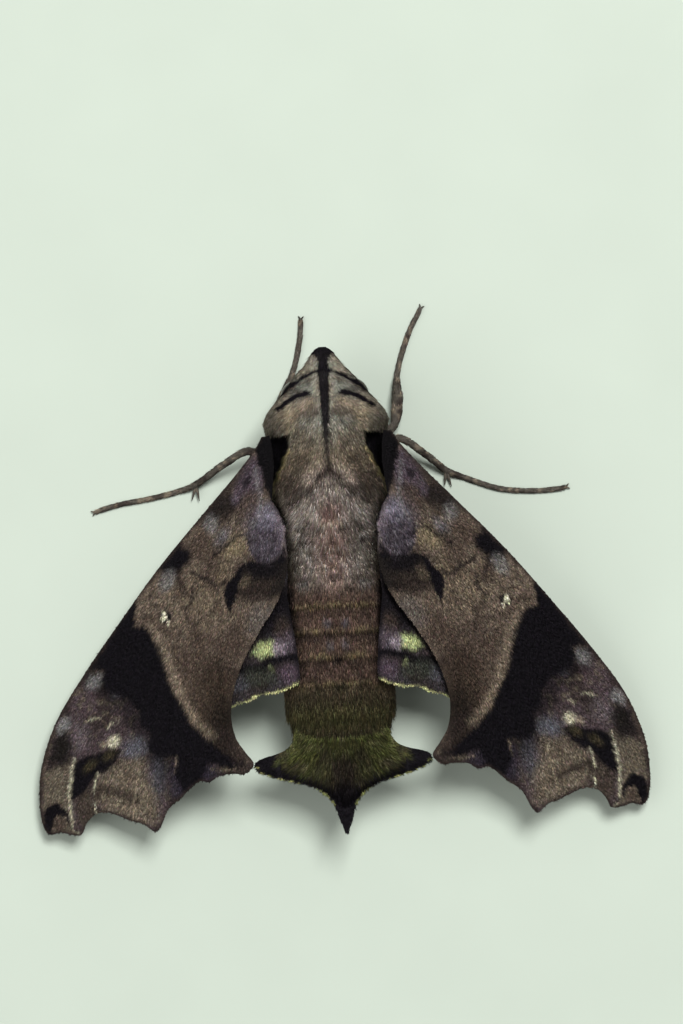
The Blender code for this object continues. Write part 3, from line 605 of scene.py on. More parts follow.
# The wedge, pale spot, horseshoe and cream veins near the tip.
WING_TIP = (
    ("spot", (23.6, 18.0), (0.6, 0.32), GREY, 0.6, 0.5, 0.9),
    ("patch", TIP_FIELD, (0.1, 0.083, 0.06), 0.25, 0.9),
    ("patch", COSTAL_PATCH, (0.006, 0.005, 0.004), 0.5, 0.92),
    ("patch", WEDGE, BLACK, 0.14),
    ("spot", (25.6, 15.06), (0.5, 0.25), GOLD, 0.9, 0.8, 0.12),
    ("spot", (26.25, 16.41), (0.5, 0.25), GOLD, 0.9, 0.8, 0.12),
    ("spot", (24.7, 14.72), (0.44, 0.38), CREAM, 0.9, 0.5, 0.65),
    ("spot", (24.9, 15.35), (0.2, 0.35), BEIGE, 0.0, 0.6, 0.45),
    ("stroke", ((23.18, 15.6), (23.35, 16.4)), 0.1, CREAM, 0.08, 0.5),
    ("stroke", ((23.5, 14.75), (23.9, 15.05)), 0.1, CREAM, 0.08, 0.4),
    ("spot", (30.0, 18.65), (0.7, 0.45), UMBER, 0.0, 0.5, 0.8),
    ("patch", HORSESHOE, BLACK, 0.06),
    ("stroke", CREAM_VEIN, 0.17, CREAM, 0.06, 0.42),
    ("stroke", ((26.82, 15.98), (27.16, 16.1), (27.96, 16.25)), 0.16, CREAM, 0.06, 0.42),
    ("stroke", ((28.6, 16.2), (29.5, 16.2)), 0.13, CREAM, 0.05, 0.7),
    ("stroke", ((25.5, 10.78), (26.82, 10.77)), 0.12, BEIGE, 0.06, 0.5),
    ("stroke", ((26.3, 13.1), (28.2, 13.5), (30.0, 13.9)), 0.1, BEIGE, 0.06, 0.5),
)
# The forewing between the comma and its black band.
WING_MIDDLE = (
    ("stroke", ((14.6, 6.95), (14.95, 7.25), (14.85, 7.79), (14.4, 8.07), (14.29, 8.47),
     (13.9, 9.1)), 0.24, BLACK, 0.1, 0.8),
    ("stroke", ((15.04, 9.03), (15.71, 9.13), (16.39, 9.55), (17.2, 9.4)), 0.2, BLACK, 0.08, 0.7),
    ("stroke", ((16.9, 9.3), (17.9, 8.9), (18.4, 8.0), (19.2, 7.4)), 0.3, UMBER, 0.2, 0.7),
    ("spot", (17.2, 4.9), (1.1, 0.8), GREY, 0.6, 0.5, 0.25),
    ("spot", (20.3, 8.9), (1.5, 1.2), UMBER, 0.0, 0.6, 0.75),
    ("spot", (18.8, 6.9), (1.7, 0.8), UMBER, 0.5, 0.6, 0.7),
    ("spot", (20.8, 7.5), (1.0, 1.1), DARK, 0.0, 0.7, 0.85),
    ("spot", (22.6, 8.0), (2.7, 1.5), (0.034, 0.023, 0.016), 0.1, 0.5, 0.9),
    ("spot", (24.2, 7.5), (2.2, 1.05), (0.01, 0.007, 0.005), 0.0, 0.6, 0.95),
    ("spot", (21.9, 9.6), (1.2, 0.35), UMBER, -0.3, 0.6, 0.6),
)
# The forewing from its shoulder to the comma.
WING_BASE = (
    ("spot", (8.4, 5.0), (1.7, 0.9), (0.058, 0.043, 0.054), 0.5, 0.4, 0.95),
    ("spot", (9.9, 5.2), (1.0, 0.7), UMBER, 0.5, 0.5, 0.8),
    ("spot", (8.4, 5.2), (0.4, 0.18), BLACK, 0.5, 0.5, 0.8),
    ("patch", COSTAL_SHADE, DARK, 0.3, 0.8),
    ("spot", (10.0, 7.1), (1.5, 0.6), (0.012, 0.009, 0.008), 1.0, 0.5, 0.9),
    ("spot", (11.0, 7.6), (0.55, 0.45), GREY, 0.0, 0.6, 0.7),
    ("spot", (11.85, 7.0), (0.65, 0.3), BLUE_GREY, 0.6, 0.8, 0.6),
    ("spot", (12.1, 8.5), (0.9, 0.6), UMBER, 0.7, 0.5, 0.75),
    ("spot", (12.9, 7.7), (0.9, 0.8), UMBER, 0.5, 0.7, 0.7),
    ("spot", (9.4, 6.0), (0.4, 0.3), PURPLE, 0.0, 0.6, 0.6),
    ("spot", (12.3, 5.9), (1.2, 0.6), (0.165, 0.13, 0.08), 0.9, 0.5, 0.8),
    ("stroke", ((11.7, 5.2), (11.79, 5.97), (12.07, 6.41), (12.64, 7.11), (12.9, 7.5)), 0.2, BLACK,
     0.08, 0.85),
    ("patch", COSTAL_SPOT, DARK, 0.5, 0.8),
    ("patch", COSTAL_SPOT, BLACK, 0.25),
    ("stroke", ((13.9, 9.95), (14.43, 9.98), (14.81, 9.63), (15.33, 9.47)), 0.4, DARK, 0.2, 0.75),
    ("spot", (14.5, 10.7), (0.7, 0.4), GREY, 0.6, 0.6, 0.7),
)
# The grey pad at the wing's root, the dark field behind it, and painted shadow along the pad's rear
# and inner edges.
PAD_MARKINGS = (
    ("patch", COMMA_SHADE, (0.009, 0.007, 0.006), 0.4, 0.97),
    ("spot", (14.65, 5.6), (0.7, 0.3), (0.085, 0.066, 0.045), 0.45, 0.5, 0.6),
    ("spot", (15.6, 5.3), (0.5, 1.0), DARK, 0.0, 0.5, 0.8),
    ("spot", (14.9, 4.6), (0.5, 0.8), UMBER, 0.0, 0.8, 0.25),
    ("patch", COMMA, BLACK, 0.05),
    # painted shadow behind the pad's rear edge
    ("spot", (14.0, 4.6), (0.5, 1.3), BLACK, 0.0, 0.5, 0.8),
    ("spot", (11.0, 4.6), (1.3, 0.9), (0.075, 0.062, 0.07), 0.4, 0.6, 0.7),
    ("spot", PAD, PAD_REACH, (0.1, 0.083, 0.097), PAD_LEAN, 0.25, 0.95),
    ("spot", (10.7, 4.05), (0.7, 0.5), (0.15, 0.142, 0.175), 0.0, 0.8, 0.6),
    ("spot", (12.5, 4.3), (0.6, 0.7), (0.17, 0.15, 0.172), 0.0, 0.8, 0.7),
    ("mottle", (0.03, 0.022, 0.03), 0.3, 35, 0.45, 0.75, 0.5, PAD_FIELD),
    # painted shadow along the pad's inner edge
    ("stroke", ((10.2, 3.3), (11.3, 2.85), (12.6, 2.85), (13.3, 3.4)), 0.2, BLACK, 0.1),
    # painted shadow along the pad's rear edge
    ("stroke", ((13.45, 3.2), (13.55, 4.3), (13.6, 5.3)), 0.3, BLACK, 0.1),
)
# The pale streak, and painted shade in the gap at the shoulder.
WING_SHOULDER = (
    ("stroke", ((7.6, 4.6), (8.6, 4.5), (9.6, 4.3), (10.4, 4.4), (11.0, 4.9)), 0.22, GREY, 0.2,
     0.55),
    # painted shade in the gap at the shoulder
    ("patch", SHOULDER_GAP_SHADE, (0.002, 0.0015, 0.002), 0.1),
)
# The forewing's black band, its pale point and its dark edges.
WING_BAND = (
    ("patch", BAND, BLACK, 0.12),
    ("spot", (25.2, 7.2), (1.7, 0.5), DARK, -0.6, 0.5, 0.8),
    ("stroke", BAND_LIGHT_EDGE, 0.5, TAN, 0.35, 0.5),
    ("stroke", ((22.9, 9.65), (23.9, 9.05)), 0.3, BEIGE, 0.2, 0.15),
    ("spot", (16.75, 10.92), (0.42, 0.36), BLACK),
    ("spot", (16.75, 11.0), (0.32, 0.17), CREAM, 0.3, 0.3),
    ("spot", (17.12, 10.75), (0.14, 0.12), CREAM, 0.0, 0.4, 0.9),
    ("stroke", FORE_EDGE[:COSTA_END], 0.24, DARK, 0.1, 0.85),
    ("stroke", FORE_EDGE[COSTA_END - 1 : HOOKS_END], 0.26, DARK, 0.14, 0.85),
)
# The strip of the hindwing that shows, with painted shadow along its inner edge by the abdomen.
HINDWING_MARKINGS = (
    ("mottle", DARK, 0.7, 42, 0.35, 0.7),
    ("spot", (16.8, 3.9), (1.7, 2.0), BLACK, 0.0, 0.4, 0.9),
    ("spot", (17.9, 3.4), (0.7, 0.5), UMBER, 0.1, 0.8, 0.5),
    ("spot", (18.9, 3.2), (0.7, 0.7), PURPLE, 0.0, 0.7, 0.7),
    ("patch", ((18.7, 4.1), (18.85, 5.0), (19.35, 5.4), (19.6, 4.95), (19.45, 4.1)), YELLOW, 0.3),
    ("spot", (19.15, 3.75), (0.45, 0.4), (0.24, 0.2, 0.22), 0.0, 0.7, 0.8),
    ("stroke", ((19.95, 2.2), (19.65, 3.2), (19.95, 4.24), (20.35, 5.11), (20.4, 6.4)), 0.5, BLACK,
     0.15),
    ("spot", (20.8, 3.1), (0.6, 0.7), (0.07, 0.048, 0.062), 0.0, 0.6, 0.8),
    ("spot", (20.4, 4.3), (0.2, 0.2), YELLOW, 0.0, 0.8, 0.3),
    ("spot", (21.0, 5.1), (0.7, 1.1), (0.028, 0.03, 0.022), 0.0, 0.5, 0.85),
    ("spot", (21.4, 6.4), (0.6, 0.5), BLUE_GREY, 0.0, 0.8, 0.3),
    ("stroke", ((21.4, 4.6), (22.1, 6.8)), 0.35, DARK, 0.2, 0.7),
    ("stroke", HIND_EDGE[HIND_REAR], 0.24, (0.42, 0.42, 0.2), 0.06, 0.85),
    # painted shadow along the hindwing's inner edge, beside the abdomen
    ("stroke", HIND_EDGE[HIND_INNER], 0.3, BLACK, 0.15, 0.85),
)
# The thorax's fork, pale field and dark points, and painted shade along its side where the wing's
# root meets it.
THORAX_MARKINGS = (
    ("spot", (8.0, 1.4), (2.4, 1.8), (0.13, 0.1, 0.064), 0.0, 0.8, 0.75),
    ("spot", (11.4, 0.0), (3.3, 3.0), (0.5, 0.42, 0.37), 0.0, 0.5, 0.85),
    ("spot", (12.5, 0.0), (2.4, 0.9), (0.5, 0.31, 0.26), 0.0, 0.7, 0.75),
    ("spot", (10.3, 0.0), (0.6, 0.5), (0.4, 0.24, 0.2), 0.0, 0.7, 0.6),
    ("mottle", UMBER, 0.4, 67, 0.55, 0.85, 0.5, REAR_THORAX),
    ("stroke", THORAX_FORK, 0.3, DARK, 0.16, 0.9),
    ("spot", (8.6, 2.1), (0.8, 0.45), UMBER, 0.5, 0.6, 0.8),
    ("spot", (7.6, 0.0), (0.35, 0.25), DARK, 0.0, 0.6, 0.8),
    ("stroke", ((10.75, 1.2), (10.9, 0.5), (10.9, 0.0)), 0.18, CREAM, 0.12, 0.4),
    ("spot", (11.28, 0.6), (0.13, 0.28), BLACK, 0.3, 0.5, 0.85),
    ("spot", (11.97, 1.77), (0.13, 0.28), BLACK, 0.3, 0.5, 0.85),
    ("spot", (11.3, 1.8), (0.13, 0.28), BLACK, 0.3, 0.5, 0.85),
    # painted shade in the gap between the thorax and the wing's root
    ("stroke", ((9.9, 3.2), (11.0, 3.05), (12.2, 3.05), (13.4, 3.1), (15.0, 3.3)), 0.55, BLACK, 0.2,
     0.95),
    ("spot", (15.0, 1.95), (0.5, 0.42), GREY, 0.0, 0.6, 0.85),
)
# The lines of head and collar, and painted shade: black laid in the hollow beside the thorax.
HEAD_MARKINGS = (
    ("spot", (4.5, 2.4), (0.8, 0.6), (0.15, 0.121, 0.076), 0.0, 0.6, 0.7),
    ("spot", (4.6, 3.4), (1.0, 1.0), (0.112, 0.098, 0.075), 0.0, 0.5, 0.85),
    ("stroke", ((3.35, 0.9), (4.2, 2.2)), 0.5, (0.2, 0.16, 0.11), 0.3, 0.5),
    ("stroke", CHEVRON, 0.32, BLACK),
    ("stroke", ((1.95, 0.5), (2.3, 1.6), (2.85, 2.4)), 0.14, UMBER, 0.08, 0.6),
    ("stroke", DASH, 0.36, BLACK, 0.07),
    # painted shade in the hollow beside the thorax
    ("patch", SIDE_HOLLOW_SHADE, BLACK, 0.07),
    ("stroke", GOLD_EDGE, 0.16, GOLD, 0.1, 0.7),
)
# The tail fan's dark middle and rim, and its golden edge.
FAN_MARKINGS = (
    ("mottle", DARK, 0.5, 82, 0.35, 0.7),
    ("mottle", TAN, 0.35, 83, 0.6, 0.85, 0.12),
    ("spot", (27.2, 0.0), (1.7, 1.2), DARK, 0.0, 0.7, 0.85),
    ("stroke", FAN_EDGE[FAN_REAR], 1.9, BLACK, 0.25),
    ("spot", (26.5, 5.2), (0.6, 1.0), BLACK, 0.0, 0.4, 0.9),
    ("stroke", ((28.3, 0.0), (31.4, 0.0)), 1.4, BLACK, 0.4, 0.9),
    ("stroke", FAN_EDGE[FAN_GOLD], 0.1, FRINGE, 0.05, 0.6),
)


def paint_forewing(plan):
    paint = Paint(plan, (0.09, 0.068, 0.051), 0.08, 11)
    paint.lay(WING_GROUND, WING_BORDER, WING_TIP, WING_MIDDLE)
    paint.lay(WING_BASE, PAD_MARKINGS, WING_SHOULDER, WING_BAND)
    return paint.colour


def paint_hindwing(plan):
    paint = Paint(plan, (0.033, 0.028, 0.031), 0.07, 41)
    paint.lay(HINDWING_MARKINGS)
    return paint.colour


def paint_fan(plan):
    paint = Paint(plan, OLIVE, 0.1, 81)
    paint.lay(FAN_MARKINGS)
    return paint.colour


def paint_body(back, side, height):
    """The coat's colours on the whole body, above and below."""
    plan = np.column_stack([back, np.abs(side)])
    paint = Paint(plan, BROWN, 0.07, 61)
    paint.mix(1 - smoothstep(3.5, 9.0, back), MOUSE, 0.9)
    paint.mottle(TAN, 1.3, 62, 0.4, 0.8, 0.55)
    paint.mottle(UMBER, 0.8, 63, 0.5, 0.85, 0.5)
    paint.lay(THORAX_MARKINGS)
    paint_abdomen(paint, back)
    paint.lay(HEAD_MARKINGS)
    paint_crest(paint, back, np.abs(side))
    paint.mix(1 - smoothstep(3.6, 5.2, height), UNDERSIDE, 0.75)
    return paint.colour


def paint_abdomen(paint, back):
    rear = smoothstep(14.2, 16.0, back)
    paint.mix(rear, (0.075, 0.047, 0.036), 0.92)
    paint.mottle(DARK, 0.45, 64, 0.45, 0.75, 0.5)
    wave = (noise(paint.plan, 0.8, 65) - 0.5) * 0.3
    for ring in (*RINGS, BODY_END):
        past = back - ring + wave
        patchy = noise(paint.plan, 0.7, 66)
        paint.mix(smoothstep(-0.45, -0.08, past) * (past < 0) * patchy, GOLD, 0.5)
        paint.mix((past >= 0) * (1 - smoothstep(0.1, 0.6, past)) * (1 - patchy), BLACK, 0.7)
    for place in ((17.45, 0.6), (18.8, 0.5)):
        paint.spot(place, (0.3, 0.2), BLUE_GREY, soft=0.8, strength=0.5)
    for place in (19.75, 21.5):
        paint.spot((place, 0.0), (0.16, 0.26), BLACK, soft=0.3)
    paint.mix(smoothstep(20.9, 22.6, back), OLIVE, 0.62)
    paint.mix(smoothstep(21.6, 22.2, back) * (1 - smoothstep(22.4, 23.0, back)), DARK, 0.5)
    paint.mix(smoothstep(23.9, 24.5, back) * (back < 24.7), DARK, 0.6)
    # Painted shade on the abdomen's sides, where the hindwings lie over them.
    shade_under_hindwings = smoothstep(2.3, 2.9, paint.plan[:, 1]) * smoothstep(14.0, 15.5, back)
    paint.mix(shade_under_hindwings * (1 - smoothstep(21.2, 21.8, back)), BLACK, 0.85)


def paint_crest(paint, back, side):
    """The black crest line and the head's black tip."""
    places, widths = zip(*CREST_WIDTH)
    width = np.interp(back, places, widths)
    crest = 1 - smoothstep(width / 2 - 0.04, width / 2 + 0.07, side)
    crest *= (1 - smoothstep(6.9, 7.8, back)) * (1 - 0.25 * smoothstep(4.5, 7.0, back))
    paint.mix(crest, BLACK, 0.97)
    tip = (1 - smoothstep(0.05, 0.4, back)) * (1 - smoothstep(0.5, 0.9, side))
    paint.mix(tip, BLACK, 0.85)


def material(name, roughness, specular=0.5):
    """A new material, with its nodes, links and shader."""
    made = bpy.data.materials.new(name)
    made.use_nodes = True
    nodes = made.node_tree.nodes
    shader = nodes["Principled BSDF"]
    shader.inputs["Roughness"].default_value = roughness
    shader.inputs["Specular IOR Level"].default_value = specular
    return made, nodes, made.node_tree.links, shader


def texture(nodes, links, kind, scale):
    """A texture on the object's own coordinates."""
    place = nodes.new("ShaderNodeTexCoord")
    made = nodes.new(kind)
    made.inputs["Scale"].default_value = scale
    links.new(place.outputs["Object"], made.inputs["Vector"])
    return made


def add_bump(nodes, links, shader, height, strength, depth):
    relief = nodes.new("ShaderNodeBump")
    relief.inputs["Strength"].default_value = strength
    relief.inputs["Distance"].default_value = depth
    links.new(height, relief.inputs["Height"])
    links.new(relief.outputs["Normal"], shader.inputs["Normal"])


def add_tones(nodes, links, shader, value, first, second):
    """Colour the shader between two tones by a value."""
    ramp = nodes.new("ShaderNodeValToRGB")
    ramp.color_ramp.elements[0].color = first
    ramp.color_ramp.elements[1].color = second
    links.new(value, ramp.inputs["Fac"])
    links.new(ramp.outputs["Color"], shader.inputs["Base Color"])


def scales_finish(name):
    """A matt scale material that takes its markings from the mesh and adds fine grain."""
    roughness, grain, bump, specular = FINISHES.get(name, COAT_FINISH)
    made, nodes, links, shader = material(name, roughness, specular)
    markings = nodes.new("ShaderNodeAttribute")
    markings.attribute_name = "markings"
    fine = texture(nodes, links, "ShaderNodeTexNoise", grain)
    fine.inputs["Detail"].default_value = 4.0
    spread = nodes.new("ShaderNodeMapRange")
    spread.inputs["To Min"].default_value = GRAIN_RANGE[0]
    spread.inputs["To Max"].default_value = GRAIN_RANGE[1]
    links.new(fine.outputs["Fac"], spread.inputs["Value"])
    shade = nodes.new("ShaderNodeVectorMath")
    shade.operation = "SCALE"
    links.new(markings.outputs["Color"], shade.inputs[0])
    links.new(spread.outputs["Result"], shade.inputs["Scale"])
    links.new(shade.outputs["Vector"], shader.inputs["Base Color"])
    if bump:
        add_bump(nodes, links, shader, fine.outputs["Fac"], bump, GRAIN_DEPTH)
    return made


def mesh_piece(name, points, faces, colours, finish, smooth=True):
    """A visible piece from points in millimetres, with its markings on its points."""
    points = np.asarray(points, float) * MM
    faces = np.asarray(faces, np.int32)
    mesh = bpy.data.meshes.new(name)
    mesh.vertices.add(len(points))
    mesh.vertices.foreach_set("co", points.ravel())
    corners = faces.shape[1]
    mesh.loops.add(faces.size)
    mesh.loops.foreach_set("vertex_index", faces.ravel())
    mesh.polygons.add(len(faces))
    mesh.polygons.foreach_set("loop_start", np.arange(0, faces.size, corners, dtype=np.int32))
    markings = mesh.color_attributes.new("markings", "FLOAT_COLOR", "POINT")
    opaque = np.column_stack([np.clip(colours, 0.0, 1.0), np.ones(len(points))])
    markings.data.foreach_set("color", opaque.ravel())
    mesh.update(calc_edges=True)
    mesh.validate()
    if smooth:
        mesh.shade_smooth()
    mesh.materials.append(finish)
    made = bpy.data.objects.new(name, mesh)
    bpy.context.scene.collection.objects.link(made)
    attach(made, "root")
    return made


def world(back, side, height):
    return np.column_stack([side, MIDDLE - back, height])


def faces_up(points, triangles):
    """The triangles of a plan, turned so that they face up."""
    corner = points[triangles]
    turn = np.cross(corner[:, 1] - corner[:, 0], corner[:, 2] - corner[:, 0])[:, 2].sum()
    return triangles[:, ::-1] if turn < 0 else triangles


def grid_faces(rings, sides):
    """Quads of rings joined one after another."""
    ring, side = np.meshgrid(np.arange(rings - 1), np.arange(sides), indexing="ij")
    near, far = ring * sides, (ring + 1) * sides
    following = (side + 1) % sides
    quads = np.stack([near + side, near + following, far + following, far + side], axis=-1)
    return quads.reshape(-1, 4)


def closed_tube(name, rings, colours, finish):
    """A piece from rings of points, closed by a cone to the middle of each end."""
    count, sides, _ = rings.shape
    points = rings.reshape(-1, 3)
    ends = np.array([rings[0].mean(axis=0), rings[-1].mean(axis=0)])
    points = np.concatenate([points, ends])
    colours = np.concatenate([colours, colours[:1], colours[-1:]])
    quads = grid_faces(count, sides)
    side = np.arange(sides)
    following = (side + 1) % sides
    start = np.full(sides, count * sides)
    last = (count - 1) * sides
    faces = np.concatenate(
        [
            quads[:, [0, 1, 2]],
            quads[:, [0, 2, 3]],
            np.column_stack([start, following, side]),
            np.column_stack([start + 1, last + side, last + following]),
        ]
    )
    corner = points[faces]
    turn = np.cross(corner[:, 1] - corner[:, 0], corner[:, 2] - corner[:, 0])
    if np.einsum("ij,ij->", corner[:, 0] - points.mean(axis=0), turn) < 0:
        faces = faces[:, ::-1]
    return mesh_piece(name, points, faces, colours, finish)


def hollow(back, side):
    """The share of the body's upper half that is taken away beside the thorax."""
    places, starts = zip(*HOLLOW_EDGE)
    inner = np.interp(back, places, starts, left=99.0, right=99.0)
    return HOLLOW_DEPTH * smoothstep(0.0, HOLLOW_BLEND, np.abs(side) - inner)


def body_relief(back, side):
    """How far the crest, the collar's groove and its lobes stand out of the skin."""
    plan = np.column_stack([back, np.abs(side)])
    crest = CREST_RISE * np.exp(-((side / CREST_REACH) ** 2))
    crest *= smoothstep(0.9, 1.6, back) * (1 - smoothstep(6.5, 8.5, back))
    groove = -GROOVE_DEPTH * np.exp(-((distance_to(CHEVRON, plan) / GROOVE_REACH) ** 2))
    lobe = LOBE_RISE * smoothstep(3.4, 4.5, back) * (1 - smoothstep(5.3, 5.42, back))
    lobe *= smoothstep(1.9, 2.7, np.abs(side))
    return crest + groove + lobe


def body_surface(back, angle):
    """A point of the body's skin, inside the solid by the coat's depth."""
    half_width, bottom, top = curve_values(BODY, np.asarray(back))
    lip = np.zeros(len(back))
    for start, end in zip((WAIST, *RINGS), (*RINGS, BODY_END)):
        rise = 2 * (back - start) / (end - start) - 1
        lip += np.where((back > start) & (back <= end), RING_LIP * rise, 0.0)
    middle, half_height = (top + bottom) / 2, (top - bottom) / 2
    across, over = np.cos(angle), np.sin(angle)
    side, rise = half_width * (1 + lip) * across, half_height * (1 + lip) * over
    out = unit(np.column_stack([across / half_width, over / half_height]))
    above = smoothstep(-0.1, 0.2, over)
    depth = COAT_DEPTH * np.clip(back / 1.2, 0.25, 1.0) - body_relief(back, side) * above
    rise = rise * (1 - hollow(back, side) * (over > 0))
    return world(back, side - out[:, 0] * depth, middle + rise - out[:, 1] * depth)


def body_skin():
    tip = np.linspace(0.0, TIP_LENGTH, TIP_RINGS)
    rest = np.arange(TIP_LENGTH + BODY_STEP, BODY_END, BODY_STEP)
    backs = np.concatenate([tip, rest, [BODY_END]])
    grids = np.meshgrid(backs, full_turn(BODY_SIDES), indexing="ij")
    back, angle = [grid.ravel() for grid in grids]
    points = body_surface(back, angle)
    colours = paint_body(back, points[:, 0], points[:, 2]) * BODY_SHADE
    rings = points.reshape(len(backs), BODY_SIDES, 3)
    made = closed_tube("body_skin", rings, colours, scales_finish("body_skin_scales"))
    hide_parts("head", "thorax", "abdomen")


def sampled(surface, count, ranges, seed, keep):
    """Random places of a surface, even by area: u, v, points and normals."""
    random = np.random.default_rng(seed)
    step = 0.01
    picked = []
    have = 0
    most = None
    while have < count:
        u = random.uniform(*ranges[0], count * 2)
        v = random.uniform(*ranges[1], count * 2)
        here = surface(u, v)
        along = (surface(u + step, v) - here) / step
        across = (surface(u, v + step) - here) / step
        normal = np.cross(along, across)
        area = np.linalg.norm(normal, axis=1)
        if most is None:
            most = np.percentile(area, 98)
        good = (random.random(len(u)) * most < area) & (area > 1e-9)
        good &= keep(u, v, here)
        normal /= np.maximum(area, 1e-9)[:, None]
        picked.append(np.column_stack([u, v, here, normal])[good])
        have += good.sum()
    rows = np.concatenate(picked)[:count]
    return rows[:, 0], rows[:, 1], rows[:, 2:5], rows[:, 5:8]


TUFT_FACES = np.array([[0, 1, 2], [1, 3, 2], [3, 0, 2], [0, 3, 1]])
TUFT_SINK = 0.04
# Each tuft is painted darker at its root, as shade deep in the coat, and lighter at its tip, as
# painted light catching the tips.
TUFT_SHADE_TO_LIGHT = (0.4, 0.4, 1.0, 1.6)
TUFT_SPREAD = 0.55
TUFT_SHADES = (0.35, 2.6)
# Each tuft's length, width and lift are these shares of its coat's, and it swerves a little.
LENGTH_SHARES = (0.65, 1.25)
WIDTH_SHARES = (0.7, 1.3)
LIFT_SHARES = (0.5, 1.5)
SWERVE = 0.2
# Where a tuft's ridge is: above the skin by a share of its width, along it by a share.
RIDGE_UP = 0.5
RIDGE_ALONG = 0.3
HUE_SPREAD = 0.07
PATCH = 0.003
UNWRAP_RANGE = (0.01, 0.99)
TUFT_PATCH = np.array([[-0.5, -0.5], [0.5, -0.5], [0.0, 0.1], [0.0, 0.5]]) * PATCH


def coat(name, growth, sizes, colours, unwrap, finish, seed):
    """Many thin tapered scales on a skin: each is one closed form of four faces.

    growth is (roots, normals, lie). sizes are (length, width, lift): the lift is how far the tip
    stands off, as a share of the length.
    """
    random = np.random.default_rng(seed)
    roots, normals, lie = growth
    count = len(roots)
    length, width, lift = [np.broadcast_to(size, count) for size in sizes]
    length = length * random.uniform(*LENGTH_SHARES, count)
    flat = lie - np.einsum("ij,ij->i", lie, normals)[:, None] * normals
    flat /= np.maximum(np.linalg.norm(flat, axis=1), 1e-6)[:, None]
    flat = unit(flat + np.cross(normals, flat) * random.normal(0.0, SWERVE, count)[:, None])
    across = np.cross(normals, flat)
    lift = lift * random.uniform(*LIFT_SHARES, count)
    tip = roots + (flat + normals * lift[:, None]) * length[:, None]
    half = (width * random.uniform(*WIDTH_SHARES, count) / 2)[:, None]
    sunk = roots - normals * TUFT_SINK
    ridge = roots + normals * (width * RIDGE_UP)[:, None]
    ridge = ridge + flat * (length * RIDGE_ALONG)[:, None]
    points = np.stack([sunk - across * half, sunk + across * half, ridge, tip], axis=1)
    points[..., 2] = np.maximum(points[..., 2], FLOOR_GAP)
    faces = (np.arange(count)[:, None, None] * 4 + TUFT_FACES).reshape(-1, 3)
    shade = np.exp(random.normal(0.0, TUFT_SPREAD, count)).clip(*TUFT_SHADES)[:, None]
    shade = shade * (1 + random.normal(0.0, HUE_SPREAD, (count, 3)))
    # painted shade at each tuft's root and painted light at its tip
    tone = np.stack([colours * shade * part for part in TUFT_SHADE_TO_LIGHT], axis=1)
    made = mesh_piece(name, points.reshape(-1, 3), faces, tone.reshape(-1, 3), finish, False)
    layer = made.data.uv_layers.new(name="OFBake")
    corners = np.clip(unwrap, *UNWRAP_RANGE)[:, None, None, :] + TUFT_PATCH[TUFT_FACES][None]
    layer.data.foreach_set("uv", corners.ravel())
    return made


def off_eye(back, angle, points):
    """Whether places are clear of both eyes, under the brows."""
    eye_back, side, height = EYE
    clear = np.ones(len(points), bool)
    for out in (side, -side):
        centre = np.array((out, MIDDLE - eye_back, height))
        clear &= np.linalg.norm(points - centre, axis=1) > EYE_RADIUS + EYE_MARGIN
    return clear | (points[:, 2] > height + BROW_RISE)


def body_lie(back, side):
    """The way the hair lies on the body, as seen from above: back, and out from the middle."""
    width = curve_values(BODY, back)[0]
    out = side / np.maximum(width, 0.3)
    places = (0, 2, 5, 8, 11, 13, 16, 25)
    spread = np.interp(back, places, (0.9, 1.0, 0.7, 0.8, 1.5, 0.9, 0.1, 0.15))
    return np.column_stack([out * spread, -np.ones(len(back)), np.zeros(len(back))])


UPPER_SIDE = (-0.25, math.pi + 0.25)
UNDER_SIDE = (math.pi + 0.2, 2 * math.pi - 0.2)
# Each coat: name, tufts, from and to along the back, round the body, and sizes.
BODY_COATS = (
    ("coat_head", 24000, (0.02, 4.2), UPPER_SIDE, (0.34, 0.07, 0.16)),
    ("coat_thorax_front", 40000, (3.6, 8.6), UPPER_SIDE, (0.5, 0.08, 0.16)),
    ("coat_thorax_rear", 36000, (8.2, 14.4), UPPER_SIDE, (0.8, 0.08, 0.15)),
    ("coat_abdomen", 44000, (13.6, 24.95), UPPER_SIDE, (0.6, 0.085, 0.12)),
    ("coat_under", 18000, (0.3, 24.8), UNDER_SIDE, (0.75, 0.12, 0.18)),
)
# Scales on walls that face backwards, at the lobes and rings, are left out.
BACK_FACING = -0.7
# How much longer the hair is at the abdomen's end.
END_SHAG = 0.6


def body_coats():
    finish = scales_finish("body_coat_scales")
    for number, (name, count, backs, angles, sizes) in enumerate(BODY_COATS):
        found = sampled(body_surface, count, (backs, angles), 100 + number, off_eye)
        back, angle, roots, normals = found
        outward = np.column_stack([np.cos(angle), np.zeros(len(angle)), np.sin(angle)])
        flip = np.where(np.einsum("ij,ij->i", normals, outward) < 0, -1.0, 1.0)
        normals = normals * flip[:, None]
        open_side = normals[:, 1] > BACK_FACING
        back, angle, roots, normals = [each[open_side] for each in (back, angle, roots, normals)]
        colours = paint_body(back, roots[:, 0], roots[:, 2])
        unwrap = np.column_stack([(angle / (2 * math.pi)) % 1.0, back / BODY_END])
        growth = (roots, normals, body_lie(back, roots[:, 0]))
        length, width, lift = sizes
        length = length * (1 + END_SHAG * smoothstep(21.5, 23.5, back))
        made = coat(name, growth, (length, width, lift), colours, unwrap, finish, 200 + number)


def forewing_height(back, side):
    slope = ROOF_SLOPE * (side - ROOF_START)
    return ROOF_TOP - slope - DROOP * np.maximum(0.0, back - DROOP_START)


